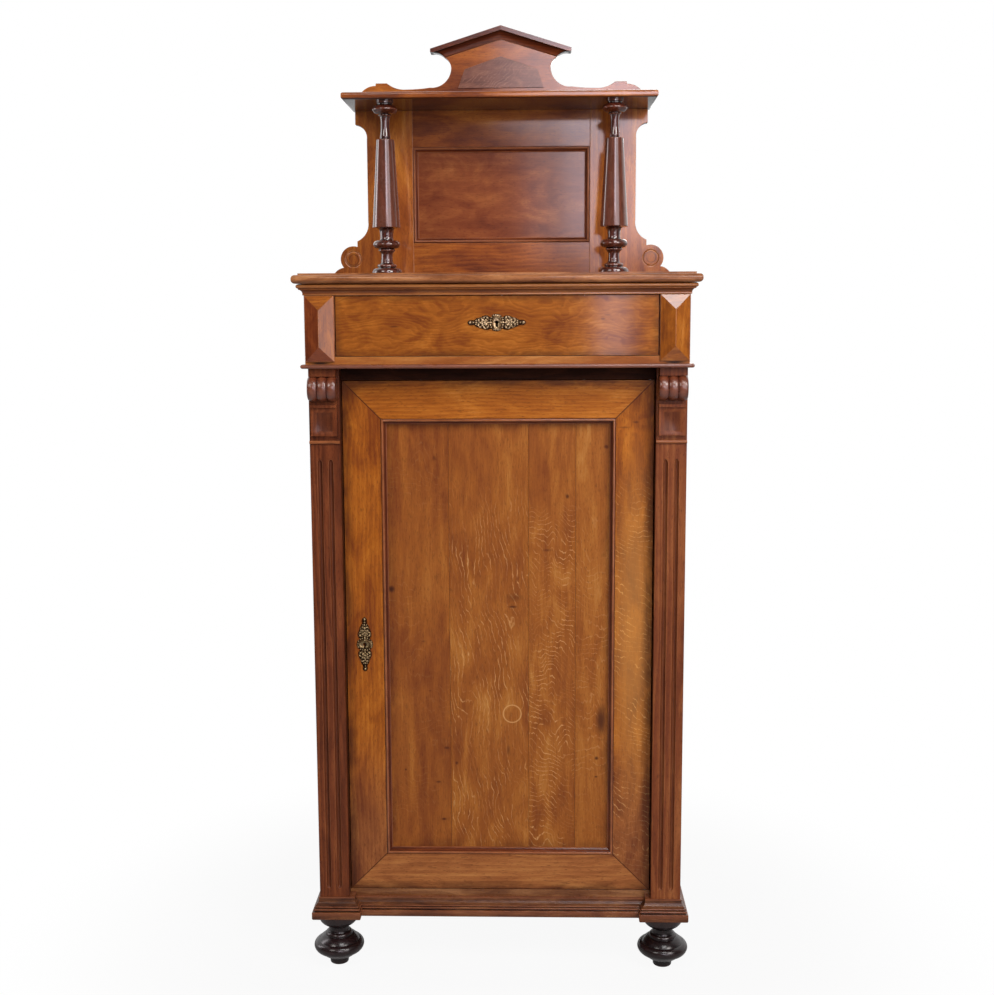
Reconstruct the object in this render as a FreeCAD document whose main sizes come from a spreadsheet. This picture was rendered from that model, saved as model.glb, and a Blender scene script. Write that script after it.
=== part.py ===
import FreeCAD, Part
import os
import re
import Sketcher
from FreeCAD import Rotation, Vector

# Oak cupboard of about 1880 with one door, one drawer and a columned gallery.
# Millimetres. +Z is up, the front looks along -Y, and the origin lies on the floor
# under the middle of the outer box.

SIZES = {
    # Case
    "body_width": 713,
    "body_depth": 410,
    "cupboard_height": 1039,
    "board_thickness": 18,
    "post_relief": 2,
    "floor_thickness": 20,
    "floor_rise": 7,
    "head_rail_height": 24,
    "back_thickness": 8,
    "back_board_count": 4,
    "back_board_gap": 0.6,
    "side_frame_width": 70,
    "side_panel_thickness": 8,
    "side_panel_sink": 5,
    "side_waist_rise": 480,
    # Shelves inside the cupboard
    "shelf_board": 16,
    "shelf_low_rise": 320,
    "shelf_high_rise": 670,
    "shelf_set_back": 70,
    "cleat_size": 20,
    # Plinth and feet
    "foot_height": 109,
    "foot_radius": 50,
    "foot_inset": 45.5,
    "foot_front_set": 53,
    "foot_back_set": 60,
    "tenon_radius": 10,
    "tenon_length": 20,
    "tenon_play": 0.1,
    "plinth_height": 44,
    "plinth_reach": 15,
    "plinth_block_width": 96.5,
    "plinth_recess": 20,
    "corner_block_size": 70,
    "base_rail_thickness": 22,
    # Pilasters and corbels
    "pilaster_width": 58,
    "pilaster_thickness": 25,
    "flute_radius": 4.5,
    "flute_spacing": 21,
    "flute_tip": 14,
    "flute_low_margin": 17,
    "flute_high_margin": 30,
    "astragal_height": 6,
    "astragal_reach": 5,
    "astragal_drop": 143,
    "corbel_width": 50,
    "corbel_head_reach": 8,
    "corbel_head_height": 57,
    "corbel_field_width": 32,
    "corbel_field_margin": 7,
    "corbel_field_sink": 5,
    "corbel_fillet_height": 6,
    "corbel_fillet_reach": 12,
    "corbel_gap_height": 7,
    "corbel_gap_reach": 6,
    "corbel_roll_radius": 24,
    "corbel_roll_reach": 36,
    "corbel_cap_height": 15,
    "corbel_cap_reach": 20,
    "corbel_reed_count": 3,
    "corbel_reed_depth": 5,
    # Drawer section
    "section_reach": 30,
    "section_floor_thickness": 22,
    "section_rail_height": 22,
    "section_rail_relief": 1,
    "drawer_opening_height": 112,
    "section_stile_width": 56.5,
    "bead_height": 8,
    "bead_reach": 8,
    "diamond_skirt": 9,
    "diamond_width": 54,
    "diamond_base": 3,
    "diamond_rise": 12,
    "guide_height": 20,
    "guide_play": 0.5,
    # Cornice and top
    "cornice_height": 21,
    "cornice_reach": 20,
    "cornice_bead_reach": 12,
    "top_thickness": 16,
    "top_round": 7,
    "top_step": 3,
    "top_step_inset": 11,
    # Door
    "door_gap": 2,
    "door_end_gap": 1.5,
    "door_thickness": 24,
    "door_frame_width": 72,
    "door_panel_thickness": 10,
    "door_panel_sink": 12,
    "door_moulding_width": 14,
    "door_moulding_rise": 3,
    "pivot_inset": 8,
    "pivot_depth": 5,
    "pivot_radius": 3.5,
    "pivot_play": 0.1,
    "pivot_length": 18,
    "pivot_reach": 9,
    "pivot_collar_radius": 4.8,
    "pivot_collar_play": 0.2,
    # Drawer
    "drawer_gap": 1.5,
    "drawer_end_gap": 1,
    "drawer_set_back": 1,
    "drawer_front_thickness": 22,
    "drawer_back_room": 29,
    "drawer_side_thickness": 12,
    "drawer_side_drop": 16.7,
    "drawer_bottom_thickness": 6,
    "drawer_bottom_rise": 6,
    "drawer_play": 0.3,
    # Locks and escutcheons
    "door_lock_width": 60,
    "door_lock_height": 90,
    "door_lock_thickness": 14,
    "door_key_set": 35,
    "door_key_rise": 501,
    "drawer_lock_width": 70,
    "drawer_lock_height": 45,
    "drawer_lock_thickness": 12,
    "drawer_key_rise": 6,
    "bolt_width": 26,
    "bolt_thickness": 6,
    "bolt_length": 34,
    "bolt_play": 0.3,
    "lock_wall": 2.5,
    "keeper_thickness": 1.5,
    "keeper_length": 44,
    "keeper_width": 18,
    "keyhole_radius": 3.2,
    "keyhole_slot": 1.4,
    "keyhole_drop": 11,
    "escutcheon_thickness": 2.5,
    "escutcheon_half_width": 16,
    "escutcheon_half_height": 54,
    # Gallery
    "gallery_height": 350,
    "gallery_thickness": 20,
    "gallery_set": 5,
    "gallery_stile_width": 97,
    "gallery_waist_inset": 72,
    "gallery_ear_inset": 48,
    "gallery_ear_drop": 28,
    "gallery_ear_cove": 31,
    "gallery_cusp_height": 80,
    "gallery_cove_rise": 41,
    "gallery_foot_reach": 6.5,
    "scroll_inset": 39,
    "scroll_centre_height": 42,
    "scroll_radius": 27.5,
    "scroll_groove_radius": 18,
    "scroll_groove_width": 3,
    "scroll_groove_depth": 2,
    "gallery_rail_height": 75,
    "gallery_panel_thickness": 8,
    "gallery_panel_sink": 8,
    "gallery_moulding_width": 11,
    "gallery_moulding_rise": 2,
    "gallery_shelf_overhang": 7.5,
    "gallery_shelf_depth": 182,
    "gallery_shelf_thickness": 14,
    "gallery_shelf_round": 5,
    "column_inset": 84.5,
    "column_set": 33,
    "column_radius": 28,
    # Crest
    "crest_thickness": 20,
    "crest_end_inset": 12,
    "crest_end_round": 40,
    "crest_hump_width": 24,
    "crest_hump_step": 5,
    "crest_drop_width": 40,
    "crest_valley_width": 51,
    "crest_valley_height": 29.5,
    "crest_sweep_width": 44.5,
    "crest_sweep_rise": 3.5,
    "crest_neck_height": 70,
    "crest_neck_sink": 12.5,
    "crest_height": 155.5,
    "raking_overhang": 24,
    "raking_fall": 43.5,
    "raking_fillet": 9,
    "raking_depth": 26,
    "raking_reach": 13,
    "plaque_inset": 15,
    "plaque_shoulder_inset": 13.5,
    "plaque_low": 31,
    "plaque_shoulder": 69,
    "plaque_peak": 95,
    "plaque_thickness": 3,
}

# Places worked out from the sizes.
PLACES = {
    "overrun": "board_thickness",
    "half": "body_width / 2",
    "inner": "half - board_thickness",
    "opening": "half - pilaster_width",
    "back_face": "(body_depth + section_reach + cornice_reach) / 2",
    "back_inside": "back_face - back_thickness",
    "pilaster_face": "back_face - body_depth",
    "door_face": "pilaster_face + pilaster_thickness",
    "post_back": "door_back - post_relief",
    "section_face": "pilaster_face - section_reach",
    "section_post_back": "drawer_front_back - section_rail_relief",
    "top_front": "section_face - cornice_reach",
    "plinth_front_face": "pilaster_face - plinth_reach",
    "plinth_centre_face": "plinth_front_face + plinth_recess",
    "plinth_half": "half + plinth_reach",
    "block_inner": "plinth_half - plinth_block_width",
    "plinth_top": "foot_height + plinth_height",
    "floor_top": "plinth_top + floor_rise",
    "floor_under": "floor_top - floor_thickness",
    "section_base": "floor_top + cupboard_height",
    "drawer_opening_half": "half - section_stile_width",
    "drawer_floor": "section_base + section_floor_thickness",
    "drawer_head": "drawer_floor + drawer_opening_height",
    "top_base": "drawer_head + section_rail_height",
    "top_face": "top_base + top_thickness + top_step",
    "foot_x": "plinth_half - foot_inset",
    "foot_front_y": "plinth_front_face + foot_front_set",
    "foot_back_y": "back_face - foot_back_set",
    "pilaster_x": "half - pilaster_width / 2",
    "corbel_cap_base": "section_base - corbel_cap_height",
    "corbel_roll_z": "corbel_cap_base - corbel_roll_radius + corbel_reed_depth",
    "corbel_gap_base": "corbel_roll_z - corbel_roll_radius - corbel_gap_height",
    "corbel_fillet_base": "corbel_gap_base - corbel_fillet_height",
    "corbel_head_base": "corbel_fillet_base - corbel_head_height",
    "corbel_roll_y": "pilaster_face - corbel_roll_reach + corbel_roll_radius",
    "door_half": "opening - door_gap",
    "door_foot": "floor_top + door_end_gap",
    "door_head": "section_base - head_rail_height - door_end_gap",
    "door_back": "door_face + door_thickness",
    "door_field_half": "door_half - door_frame_width",
    "door_field_low": "door_foot + door_frame_width",
    "door_field_high": "door_head - door_frame_width",
    "door_panel_face": "door_face + door_panel_sink",
    "pivot_x": "door_half - pivot_inset",
    "pivot_y": "door_face + pivot_depth",
    "key_x": "-door_half + door_key_set",
    "door_key_height": "floor_top + door_key_rise",
    "door_lock_left": "-door_half + lock_wall",
    "bolt_y": "door_back + lock_wall + bolt_play",
    "drawer_half": "drawer_opening_half - drawer_gap",
    "drawer_face": "section_face + drawer_set_back",
    "drawer_front_back": "drawer_face + drawer_front_thickness",
    "drawer_foot": "drawer_floor + drawer_end_gap",
    "drawer_crown": "drawer_head - drawer_end_gap",
    "drawer_side_half": "drawer_half - drawer_gap - guide_play",
    "drawer_side_foot": "drawer_floor + drawer_play",
    "drawer_side_head": "drawer_head - drawer_side_drop",
    "drawer_end": "back_inside - drawer_back_room",
    "drawer_key_z": "(drawer_floor + drawer_head) / 2 + drawer_key_rise",
    "drawer_bolt_y": "drawer_front_back + lock_wall + bolt_play",
    "drawer_lock_top": "drawer_crown - lock_wall",
    "gallery_waist_half": "half - gallery_waist_inset",
    "gallery_ear_half": "half - gallery_ear_inset",
    "gallery_stile_inner": "gallery_waist_half - gallery_stile_width",
    "gallery_foot_half": "half + gallery_foot_reach",
    "gallery_shelf_half": "gallery_ear_half + gallery_shelf_overhang",
    "scroll_centre_half": "half - scroll_inset",
    "column_half": "gallery_shelf_half - column_inset",
    "gallery_back": "back_face - gallery_set",
    "gallery_face": "gallery_back - gallery_thickness",
    "gallery_panel_face": "gallery_face + gallery_panel_sink",
    "gallery_field_low": "top_face + gallery_rail_height",
    "gallery_field_high": "gallery_shelf_base - gallery_rail_height",
    "gallery_shelf_base": "top_face + gallery_height",
    "gallery_shelf_front": "gallery_back - gallery_shelf_depth",
    "scroll_z": "top_face + scroll_centre_height",
    "cusp_z": "top_face + gallery_cusp_height",
    "ear_z": "gallery_shelf_base - gallery_ear_drop",
    "column_y": "gallery_shelf_front + column_set",
    "crest_base": "gallery_shelf_base + gallery_shelf_thickness",
    "crest_end_half": "gallery_shelf_half - crest_end_inset",
    "crest_hump_half": "crest_end_half - crest_end_round",
    "crest_hump_inner": "crest_hump_half - crest_hump_width",
    "crest_valley_half": "crest_hump_inner - crest_drop_width",
    "crest_sweep_half": "crest_valley_half - crest_valley_width",
    "crest_neck_half": "crest_sweep_half - crest_sweep_width",
    "crest_tablet_half": "crest_neck_half + crest_neck_sink",
    "raking_half": "crest_tablet_half + raking_overhang",
    "plaque_half": "crest_neck_half - plaque_inset",
    "plaque_shoulder_half": "plaque_half - plaque_shoulder_inset",
    "crest_face": "gallery_back - crest_thickness",
    "crest_peak": "crest_base + crest_height",
    "raking_slope": "raking_fall / raking_half",
    "tablet_top": "crest_peak - raking_depth - raking_slope * crest_tablet_half",
    "hump_z": "crest_base + crest_end_round",
    "valley_z": "crest_base + crest_valley_height",
    "neck_z": "crest_base + crest_neck_height",
}

# Turned foot: shares of its radius and of its height, from the floor up.
FOOT_SHARES = (
    (0, 0), (0.30, 0), ("via", 0.34, 0.02), (0.36, 0.06), (0.40, 0.20),
    ("via", 0.86, 0.27), (1.0, 0.42), ("via", 0.97, 0.51), (0.80, 0.575),
    (0.78, 0.60), ("via", 0.74, 0.63), (0.64, 0.645), (0.62, 0.67), ("via", 0.60, 0.70),
    (0.52, 0.71), (0.43, 0.745), ("via", 0.41, 0.78), (0.46, 0.815), ("via", 0.66, 0.87),
    (0.72, 0.96), (0.72, 1),
)

# Turned column: shares of its radius and of its height, from the top board up.
COLUMN_SHARES = (
    (0, 0), (0.86, 0), ("via", 1.0, 0.025), (0.86, 0.051), (0.62, 0.054),
    ("via", 0.71, 0.064), (0.60, 0.074), (0.45, 0.080), ("via", 0.40, 0.120), (0.43, 0.140),
    (0.52, 0.148), ("via", 0.62, 0.155), (0.54, 0.162), (0.80, 0.166), ("via", 1.0, 0.186),
    (0.72, 0.210), (0.50, 0.214), ("via", 0.46, 0.242), (0.50, 0.266), ("via", 0.62, 0.282),
    (1.0, 0.287), (0.668, 0.789), (0.75, 0.791), ("via", 0.78, 0.797), (0.72, 0.804),
    (0.46, 0.806), ("via", 0.345, 0.860), (0.36, 0.895), ("via", 0.43, 0.930), (0.55, 0.946),
    ("via", 0.60, 0.950), (0.60, 0.955), ("via", 0.90, 0.970), (0.74, 0.985), (0.74, 1),
)

# Base moulding: shares of its reach and of its height, from the lower outer edge up.
PLINTH_SHARES = (
    (0, 0), (1, 0), (1, 0.40), (0.78, 0.43), (0.78, 0.47), ("via", 1.02, 0.56),
    (0.72, 0.66), (0.60, 0.66), (0.60, 0.72), ("via", 0.26, 0.80), (0.16, 1), (0, 1),
)

# Cornice: shares of its height over its bottom edge, and its reach in shares of the bead's.
CORNICE_SHARES = (
    (0, 0), (0.15, 0), ("via", 0.30, 0.42), (0.85, 0.60), (0.85, 0.66),
    ("via", 1, 0.83), (0.85, 1), (0, 1),
)

# Escutcheon: shares of its half width and half height, its right half from the bottom up.
ESCUTCHEON_SHARES = (
    (0, -1), ("via", 0.30, -0.93), (0.34, -0.82), ("via", 0.62, -0.74), (0.48, -0.60),
    ("via", 0.98, -0.48), (0.72, -0.30), ("via", 1, 0), (0.72, 0.30), ("via", 0.98, 0.48),
    (0.48, 0.60), ("via", 0.62, 0.74), (0.34, 0.82), ("via", 0.30, 0.93), (0, 1),
)

# How near a corner has to lie to a named place, as a share of a board's thickness.
MATCH_SHARE = 0.01

# Which origin plane an outline is drawn on, and how its own normal runs.
VIEWS = {
    "front": ("XZ_Plane", -1),
    "above": ("XY_Plane", 1),
    "side": ("YZ_Plane", 1),
}

document = FreeCAD.newDocument("cupboard")
book = document.addObject("Spreadsheet::Sheet", "Sizes")
nodes = []


def fill_book():
    """Write every driving size into the sheet under its own name."""
    for row, (name, size) in enumerate(SIZES.items(), start=1):
        book.set("A%d" % row, name.replace("_", " "))
        book.set("B%d" % row, str(size))
        book.setAlias("B%d" % row, name)
    document.recompute()


def spell(text):
    """Turn a text in the plain names above into one that reads the sheet."""
    def word(match):
        name = match.group(0)
        if name in PLACES:
            return "(" + spell(PLACES[name]) + ")"
        if name in SIZES:
            return "Sizes." + name
        return name
    return re.sub(r"[a-z_]+", word, text)


def measure(text):
    return float(book.evalExpression(spell(text)))


def bind(item, field, text):
    item.setExpression(field, spell(text))


def keep(name, item):
    """Name a finished piece and list it as a node."""
    item.Label = name
    nodes.append(item)
    return item


def slab(x, y, z):
    """A board between a low and a high place along each axis."""
    board = document.addObject("Part::Box", "board")
    for field, axis, (low, high) in zip(("Length", "Width", "Height"), "xyz", (x, y, z)):
        bind(board, field, "%s - (%s)" % (high, low))
        bind(board, "Placement.Base." + axis, low)
    return board


def rod(x, y, z, radius):
    """An upright round rod."""
    bar = document.addObject("Part::Cylinder", "rod")
    bind(bar, "Radius", radius)
    bind(bar, "Height", "%s - (%s)" % (z[1], z[0]))
    for axis, place in zip("xyz", (x, y, z[0])):
        bind(bar, "Placement.Base." + axis, place)
    return bar


def fuse(pieces):
    joined = document.addObject("Part::MultiFuse", "joined")
    joined.Shapes = pieces
    return joined


def cut(piece, tool):
    remainder = document.addObject("Part::Cut", "cut")
    remainder.Base = piece
    remainder.Tool = tool
    return remainder


def mirrored(piece):
    """The same piece on the other side of the cupboard's middle."""
    twin = document.addObject("Part::Mirroring", "twin")
    twin.Source = piece
    twin.Base = Vector(0, 0, 0)
    twin.Normal = Vector(1, 0, 0)
    return twin


def pair(piece):
    """A right-hand piece and its left-hand twin, as two solids."""
    return group([piece, mirrored(piece)])


def group(pieces):
    together = document.addObject("Part::Compound", "group")
    together.Links = pieces
    return together


def new_body(name):
    return document.addObject("PartDesign::Body", name)


def draw(sketch, outline):
    """Draw a closed outline. Each corner is an (x, y) pair of texts, and a
    ("via", x, y) between two corners makes the side between them an arc."""
    sides = []
    for index, item in enumerate(outline):
        if item[0] == "via":
            continue
        follower = outline[(index + 1) % len(outline)]
        is_arc = follower[0] == "via"
        target = outline[(index + 2) % len(outline)] if is_arc else follower
        start = Vector(measure(item[0]), measure(item[1]), 0)
        end = Vector(measure(target[0]), measure(target[1]), 0)
        if is_arc:
            middle = Vector(measure(follower[1]), measure(follower[2]), 0)
            turns_left = (middle - start).cross(end - middle).z > 0
            ends = (start, end) if turns_left else (end, start)
            side = sketch.addGeometry(Part.Arc(ends[0], middle, ends[1]), False)
            first = 1 if turns_left else 2
            mark = sketch.addGeometry(Part.Point(middle), True)
            pin(sketch, mark, 1, follower[1:])
            sketch.addConstraint(Sketcher.Constraint("PointOnObject", mark, 1, side))
        else:
            side = sketch.addGeometry(Part.LineSegment(start, end), False)
            first = 1
        pin(sketch, side, first, item)
        sides.append((side, first))
    for (side, first), (following, start) in zip(sides, sides[1:] + sides[:1]):
        joint = Sketcher.Constraint("Coincident", side, 3 - first, following, start)
        sketch.addConstraint(joint)


def pin(sketch, side, end, place):
    """Hold one point of a sketch at a pair of texts."""
    for kind, text in zip(("DistanceX", "DistanceY"), place):
        number = sketch.addConstraint(Sketcher.Constraint(kind, -1, 1, side, end, measure(text)))
        bind(sketch, "Constraints[%d]" % number, text)


def outline_sketch(body, view, level, outline, shift=("0", "0")):
    """A closed outline on a plane at a level, its own origin shifted within that plane."""
    role, sense = VIEWS[view]
    sketch = body.newObject("Sketcher::SketchObject", "outline")
    plane = next(item for item in body.Origin.OriginFeatures if item.Role == role)
    sketch.AttachmentSupport = [(plane, "")]
    sketch.MapMode = "FlatFace"
    bind(sketch, "AttachmentOffset.Base.z", level if sense > 0 else "-(%s)" % level)
    bind(sketch, "AttachmentOffset.Base.x", shift[0])
    bind(sketch, "AttachmentOffset.Base.y", shift[1])
    draw(sketch, outline)
    return sketch


def pad(body, view, low, high, outline):
    """Material of one outline between two levels."""
    level = low if VIEWS[view][1] > 0 else high
    feature = body.newObject("PartDesign::Pad", "pad")
    feature.Profile = outline_sketch(body, view, level, outline)
    bind(feature, "Length", "%s - (%s)" % (high, low))
    return feature


def pocket(body, view, low, high, outline):
    """A hollow of one outline between two levels."""
    level = high if VIEWS[view][1] > 0 else low
    feature = body.newObject("PartDesign::Pocket", "pocket")
    feature.Profile = outline_sketch(body, view, level, outline)
    bind(feature, "Length", "%s - (%s)" % (high, low))
    return feature


def turn(body, kind, level, outline, axis, shift=("0", "0")):
    """An outline seen from the front, turned right round one of its own axes."""
    feature = body.newObject("PartDesign::" + kind, "turned")
    sketch = outline_sketch(body, "front", level, outline, shift)
    feature.Profile = sketch
    feature.ReferenceAxis = (sketch, [axis])
    feature.Angle = 360
    return feature


def rectangle(x, y):
    (left, right), (low, high) = x, y
    return [(left, low), (right, low), (right, high), (left, high)]


def scaled(shares, width, height, base="0"):
    """Turn a table of shares into an outline of texts."""
    outline = []
    for row in shares:
        place = ("%g * (%s)" % (row[-2], width), "%s + %g * (%s)" % (base, row[-1], height))
        outline.append(("via",) + place if row[0] == "via" else place)
    return outline


def both_halves(half_outline):
    """Close an outline that is given as its right half, from its foot to its head."""
    left = []
    for item in reversed(half_outline[1:-1]):
        place = ("-(%s)" % item[-2], item[-1])
        left.append(("via",) + place if item[0] == "via" else place)
    return half_outline + left


def run(body, path_view, path_level, path, profile_view, profile_level, profile, closed=False):
    """A moulding: one profile run along a path with mitred corners."""
    role, sense = VIEWS[path_view]
    line = body.newObject("Sketcher::SketchObject", "path")
    plane = next(item for item in body.Origin.OriginFeatures if item.Role == role)
    line.AttachmentSupport = [(plane, "")]
    line.MapMode = "FlatFace"
    bind(line, "AttachmentOffset.Base.z", path_level if sense > 0 else "-(%s)" % path_level)
    ends = path[1:] + path[:1] if closed else path[1:]
    for start, end in zip(path, ends):
        points = [Vector(measure(x), measure(y), 0) for x, y in (start, end)]
        side = line.addGeometry(Part.LineSegment(*points), False)
        pin(line, side, 1, start)
        if side > 0:
            line.addConstraint(Sketcher.Constraint("Coincident", side - 1, 2, side, 1))
    if closed:
        line.addConstraint(Sketcher.Constraint("Coincident", side, 2, 0, 1))
    else:
        pin(line, side, 2, path[-1])
    feature = body.newObject("PartDesign::AdditivePipe", "moulding")
    feature.Profile = outline_sketch(body, profile_view, profile_level, profile)
    feature.Spine = (line, [])
    feature.Transition = "Right corner"
    return feature


def round_edges(body, feature, radius, test):
    """Round the level edges of a feature whose two ends pass a test."""
    document.recompute()
    names = []
    for number, edge in enumerate(feature.Shape.Edges, start=1):
        ends = [vertex.Point for vertex in edge.Vertexes]
        is_level = edge.BoundBox.ZLength < edge.Length / 2
        if is_level and all(test(end) for end in ends):
            names.append("Edge%d" % number)
    fillet = body.newObject("PartDesign::Fillet", "rounding")
    fillet.Base = (feature, names)
    bind(fillet, "Radius", radius)
    return fillet


def near(value, text):
    """Whether a coordinate lies on a named place."""
    return abs(value - measure(text)) < MATCH_SHARE * measure("board_thickness")


def feet():
    """Four turned bun feet, each with a tenon that enters its corner block."""
    outline = scaled(FOOT_SHARES, "foot_radius", "foot_height")
    outline += [("tenon_radius", "foot_height"), ("tenon_radius", "foot_height + tenon_length"),
                ("0", "foot_height + tenon_length")]
    for side, x in (("left", "-foot_x"), ("right", "foot_x")):
        for end, y in (("front", "foot_front_y"), ("rear", "foot_back_y")):
            body = new_body("foot")
            turn(body, "Revolution", "0", outline, "V_Axis")
            bind(body, "Placement.Base.x", x)
            bind(body, "Placement.Base.y", y)
            keep("foot_%s_%s" % (end, side), body)


def base_framing():
    """Corner blocks that take the feet, and the rail at the back between them."""
    blocks = []
    rail_face = "back_face - base_rail_thickness"
    spans = (("foot_front_y", ("door_face", "door_face + corner_block_size")),
             ("foot_back_y", (rail_face + " - corner_block_size", rail_face)))
    for foot_y, span in spans:
        block = slab(("inner - corner_block_size", "inner"), span, ("foot_height", "floor_under"))
        hole = rod("foot_x", foot_y, ("foot_height - tenon_length", "foot_height + tenon_length"
                                      " + tenon_play"), "tenon_radius + tenon_play")
        drilled = cut(block, hole)
        blocks += [drilled, mirrored(drilled)]
    rail = slab(("-inner", "inner"), (rail_face, "back_face"), ("foot_height", "floor_under"))
    keep("base_framing", group(blocks + [rail]))


def plinth():
    """Moulded base that breaks forward under each pilaster."""
    front = new_body("block")
    corner = "block_inner + plinth_reach"
    pad(front, "above", "foot_height", "plinth_top",
        rectangle((corner, "half"), ("pilaster_face", "door_face")))
    profile = [shift_place(item, corner, -1) for item in
               scaled(PLINTH_SHARES, "plinth_reach", "plinth_height", "foot_height")]
    run(front, "above", "foot_height",
        [(corner, "door_face"), (corner, "pilaster_face"), ("half", "pilaster_face"),
         ("half", "door_face")], "front", "door_face", profile)
    keep("plinth_block_right", front)
    left = keep("plinth_block_left", mirrored(front))

    centre = new_body("centre")
    base_line = "plinth_centre_face + plinth_reach"
    profile = [shift_place(item, base_line, -1) for item in
               scaled(PLINTH_SHARES, "plinth_reach", "plinth_height - floor_rise", "foot_height")]
    profile = extend_back(profile, "door_face")
    pad(centre, "side", "-(%s)" % corner, corner, profile)
    keep("plinth_front", cut(centre, fuse([front, left])))

    side = new_body("side")
    profile = [shift_place(item, "half", 1) for item in
               scaled(PLINTH_SHARES, "plinth_reach", "plinth_height", "foot_height")]
    pad(side, "front", "door_face", "back_face", extend_back(profile, "inner"))
    keep("plinth_sides", pair(side))


def shift_place(item, base, sense):
    """Measure an outline's reach from a base line, towards + or -."""
    place = ("%s %s %s" % (base, "+" if sense > 0 else "-", item[-2]), item[-1])
    return ("via",) + place if item[0] == "via" else place


def extend_back(profile, place):
    """Carry a moulding's inner edge back to a place."""
    return [(place, profile[0][1])] + profile[1:-1] + [(place, profile[-1][1])]


def case_boards():
    """Floor, framed sides, posts, rail, back and shelves of the cupboard."""
    floor = slab(("-inner", "inner"), ("door_face", "back_inside"), ("floor_under", "floor_top"))
    keep("floor_board", cut(floor, pivot_hole("floor_top", -1)))

    frame = new_body("side_frame")
    pad(frame, "side", "inner", "half",
        rectangle(("post_back", "back_inside"), ("plinth_top", "section_base")))
    inside = ("post_back + side_frame_width", "back_inside - side_frame_width")
    waist = "floor_top + side_waist_rise"
    fields = (("plinth_top + side_frame_width", waist + " - side_frame_width / 2"),
              (waist + " + side_frame_width / 2", "section_base - side_frame_width"))
    panels = []
    panel_face = "half - side_panel_sink"
    for field in fields:
        pocket(frame, "side", "inner - overrun", "half + overrun",
               rectangle(inside, field))
        panels.append(slab((panel_face + " - side_panel_thickness", panel_face), inside, field))
    keep("side_frame_right", frame)
    keep("side_frame_left", mirrored(frame))
    keep("side_panels", group(panels + [mirrored(panel) for panel in panels]))

    post = slab(("opening", "half"), ("door_face", "post_back"), ("plinth_top", "section_base"))
    notch = slab(("opening - floor_rise", "inner"), ("door_face", "post_back + floor_rise"),
                 ("plinth_top - floor_rise", "floor_top"))
    keep("front_posts", pair(cut(post, notch)))
    rail = slab(("-opening", "opening"), ("door_face", "post_back"),
                ("section_base - head_rail_height", "section_base"))
    keep("head_rail", cut(rail, pivot_hole("section_base - head_rail_height", 1)))
    back()
    shelves()


def back():
    """Upright back boards, one behind the cupboard and the drawer section alike."""
    boards = []
    count = SIZES["back_board_count"]
    for number in range(count):
        left = "-half + %d * body_width / back_board_count + back_board_gap / 2" % number
        right = left + " + body_width / back_board_count - back_board_gap"
        boards.append(slab((left, right), ("back_inside", "back_face"), ("plinth_top", "top_base")))
    keep("back_boards", group(boards))


def shelves():
    """Two shelves and the cleats that carry them."""
    depth = ("post_back + shelf_set_back", "back_inside")
    boards = []
    cleats = []
    for height in ("floor_top + shelf_low_rise", "floor_top + shelf_high_rise"):
        boards.append(slab(("-inner", "inner"), depth, (height, height + " + shelf_board")))
        cleat = slab(("inner - cleat_size", "inner"), depth, (height + " - cleat_size", height))
        cleats += [cleat, mirrored(cleat)]
    keep("shelves", group(boards))
    keep("shelf_cleats", group(cleats))


def pivot_hole(level, sense):
    """The running hole of a door pivot, from a level up (+1) or down (-1)."""
    far = "%s %s (pivot_reach + door_end_gap)" % (level, "+" if sense > 0 else "-")
    near_end = "%s %s door_end_gap" % (level, "-" if sense > 0 else "+")
    span = (near_end, far) if sense > 0 else (far, near_end)
    return rod("pivot_x", "pivot_y", span, "pivot_radius + pivot_play")


def pilasters():
    """Fluted pilasters, each with a bead under its carved head."""
    body = new_body("pilaster")
    pad(body, "above", "plinth_top", "section_base",
        rectangle(("opening", "half"), ("pilaster_face", "door_face")))
    low = "section_base - astragal_drop"
    pad(body, "side", "opening", "half",
        [("pilaster_face", low), ("pilaster_face", low + " + astragal_height"),
         ("via", "pilaster_face - astragal_reach", low + " + astragal_height / 2")])
    foot = "plinth_top + flute_low_margin"
    head = low + " - flute_high_margin"
    groove = [("0", foot), ("flute_radius", foot + " + flute_tip"),
              ("flute_radius", head + " - flute_tip"), ("0", head)]
    for sense in ("-", "+"):
        turn(body, "Groove", "pilaster_face", groove, "V_Axis",
             ("pilaster_x %s flute_spacing / 2" % sense, "0"))
    keep("pilaster_right", body)
    keep("pilaster_left", mirrored(body))


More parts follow.
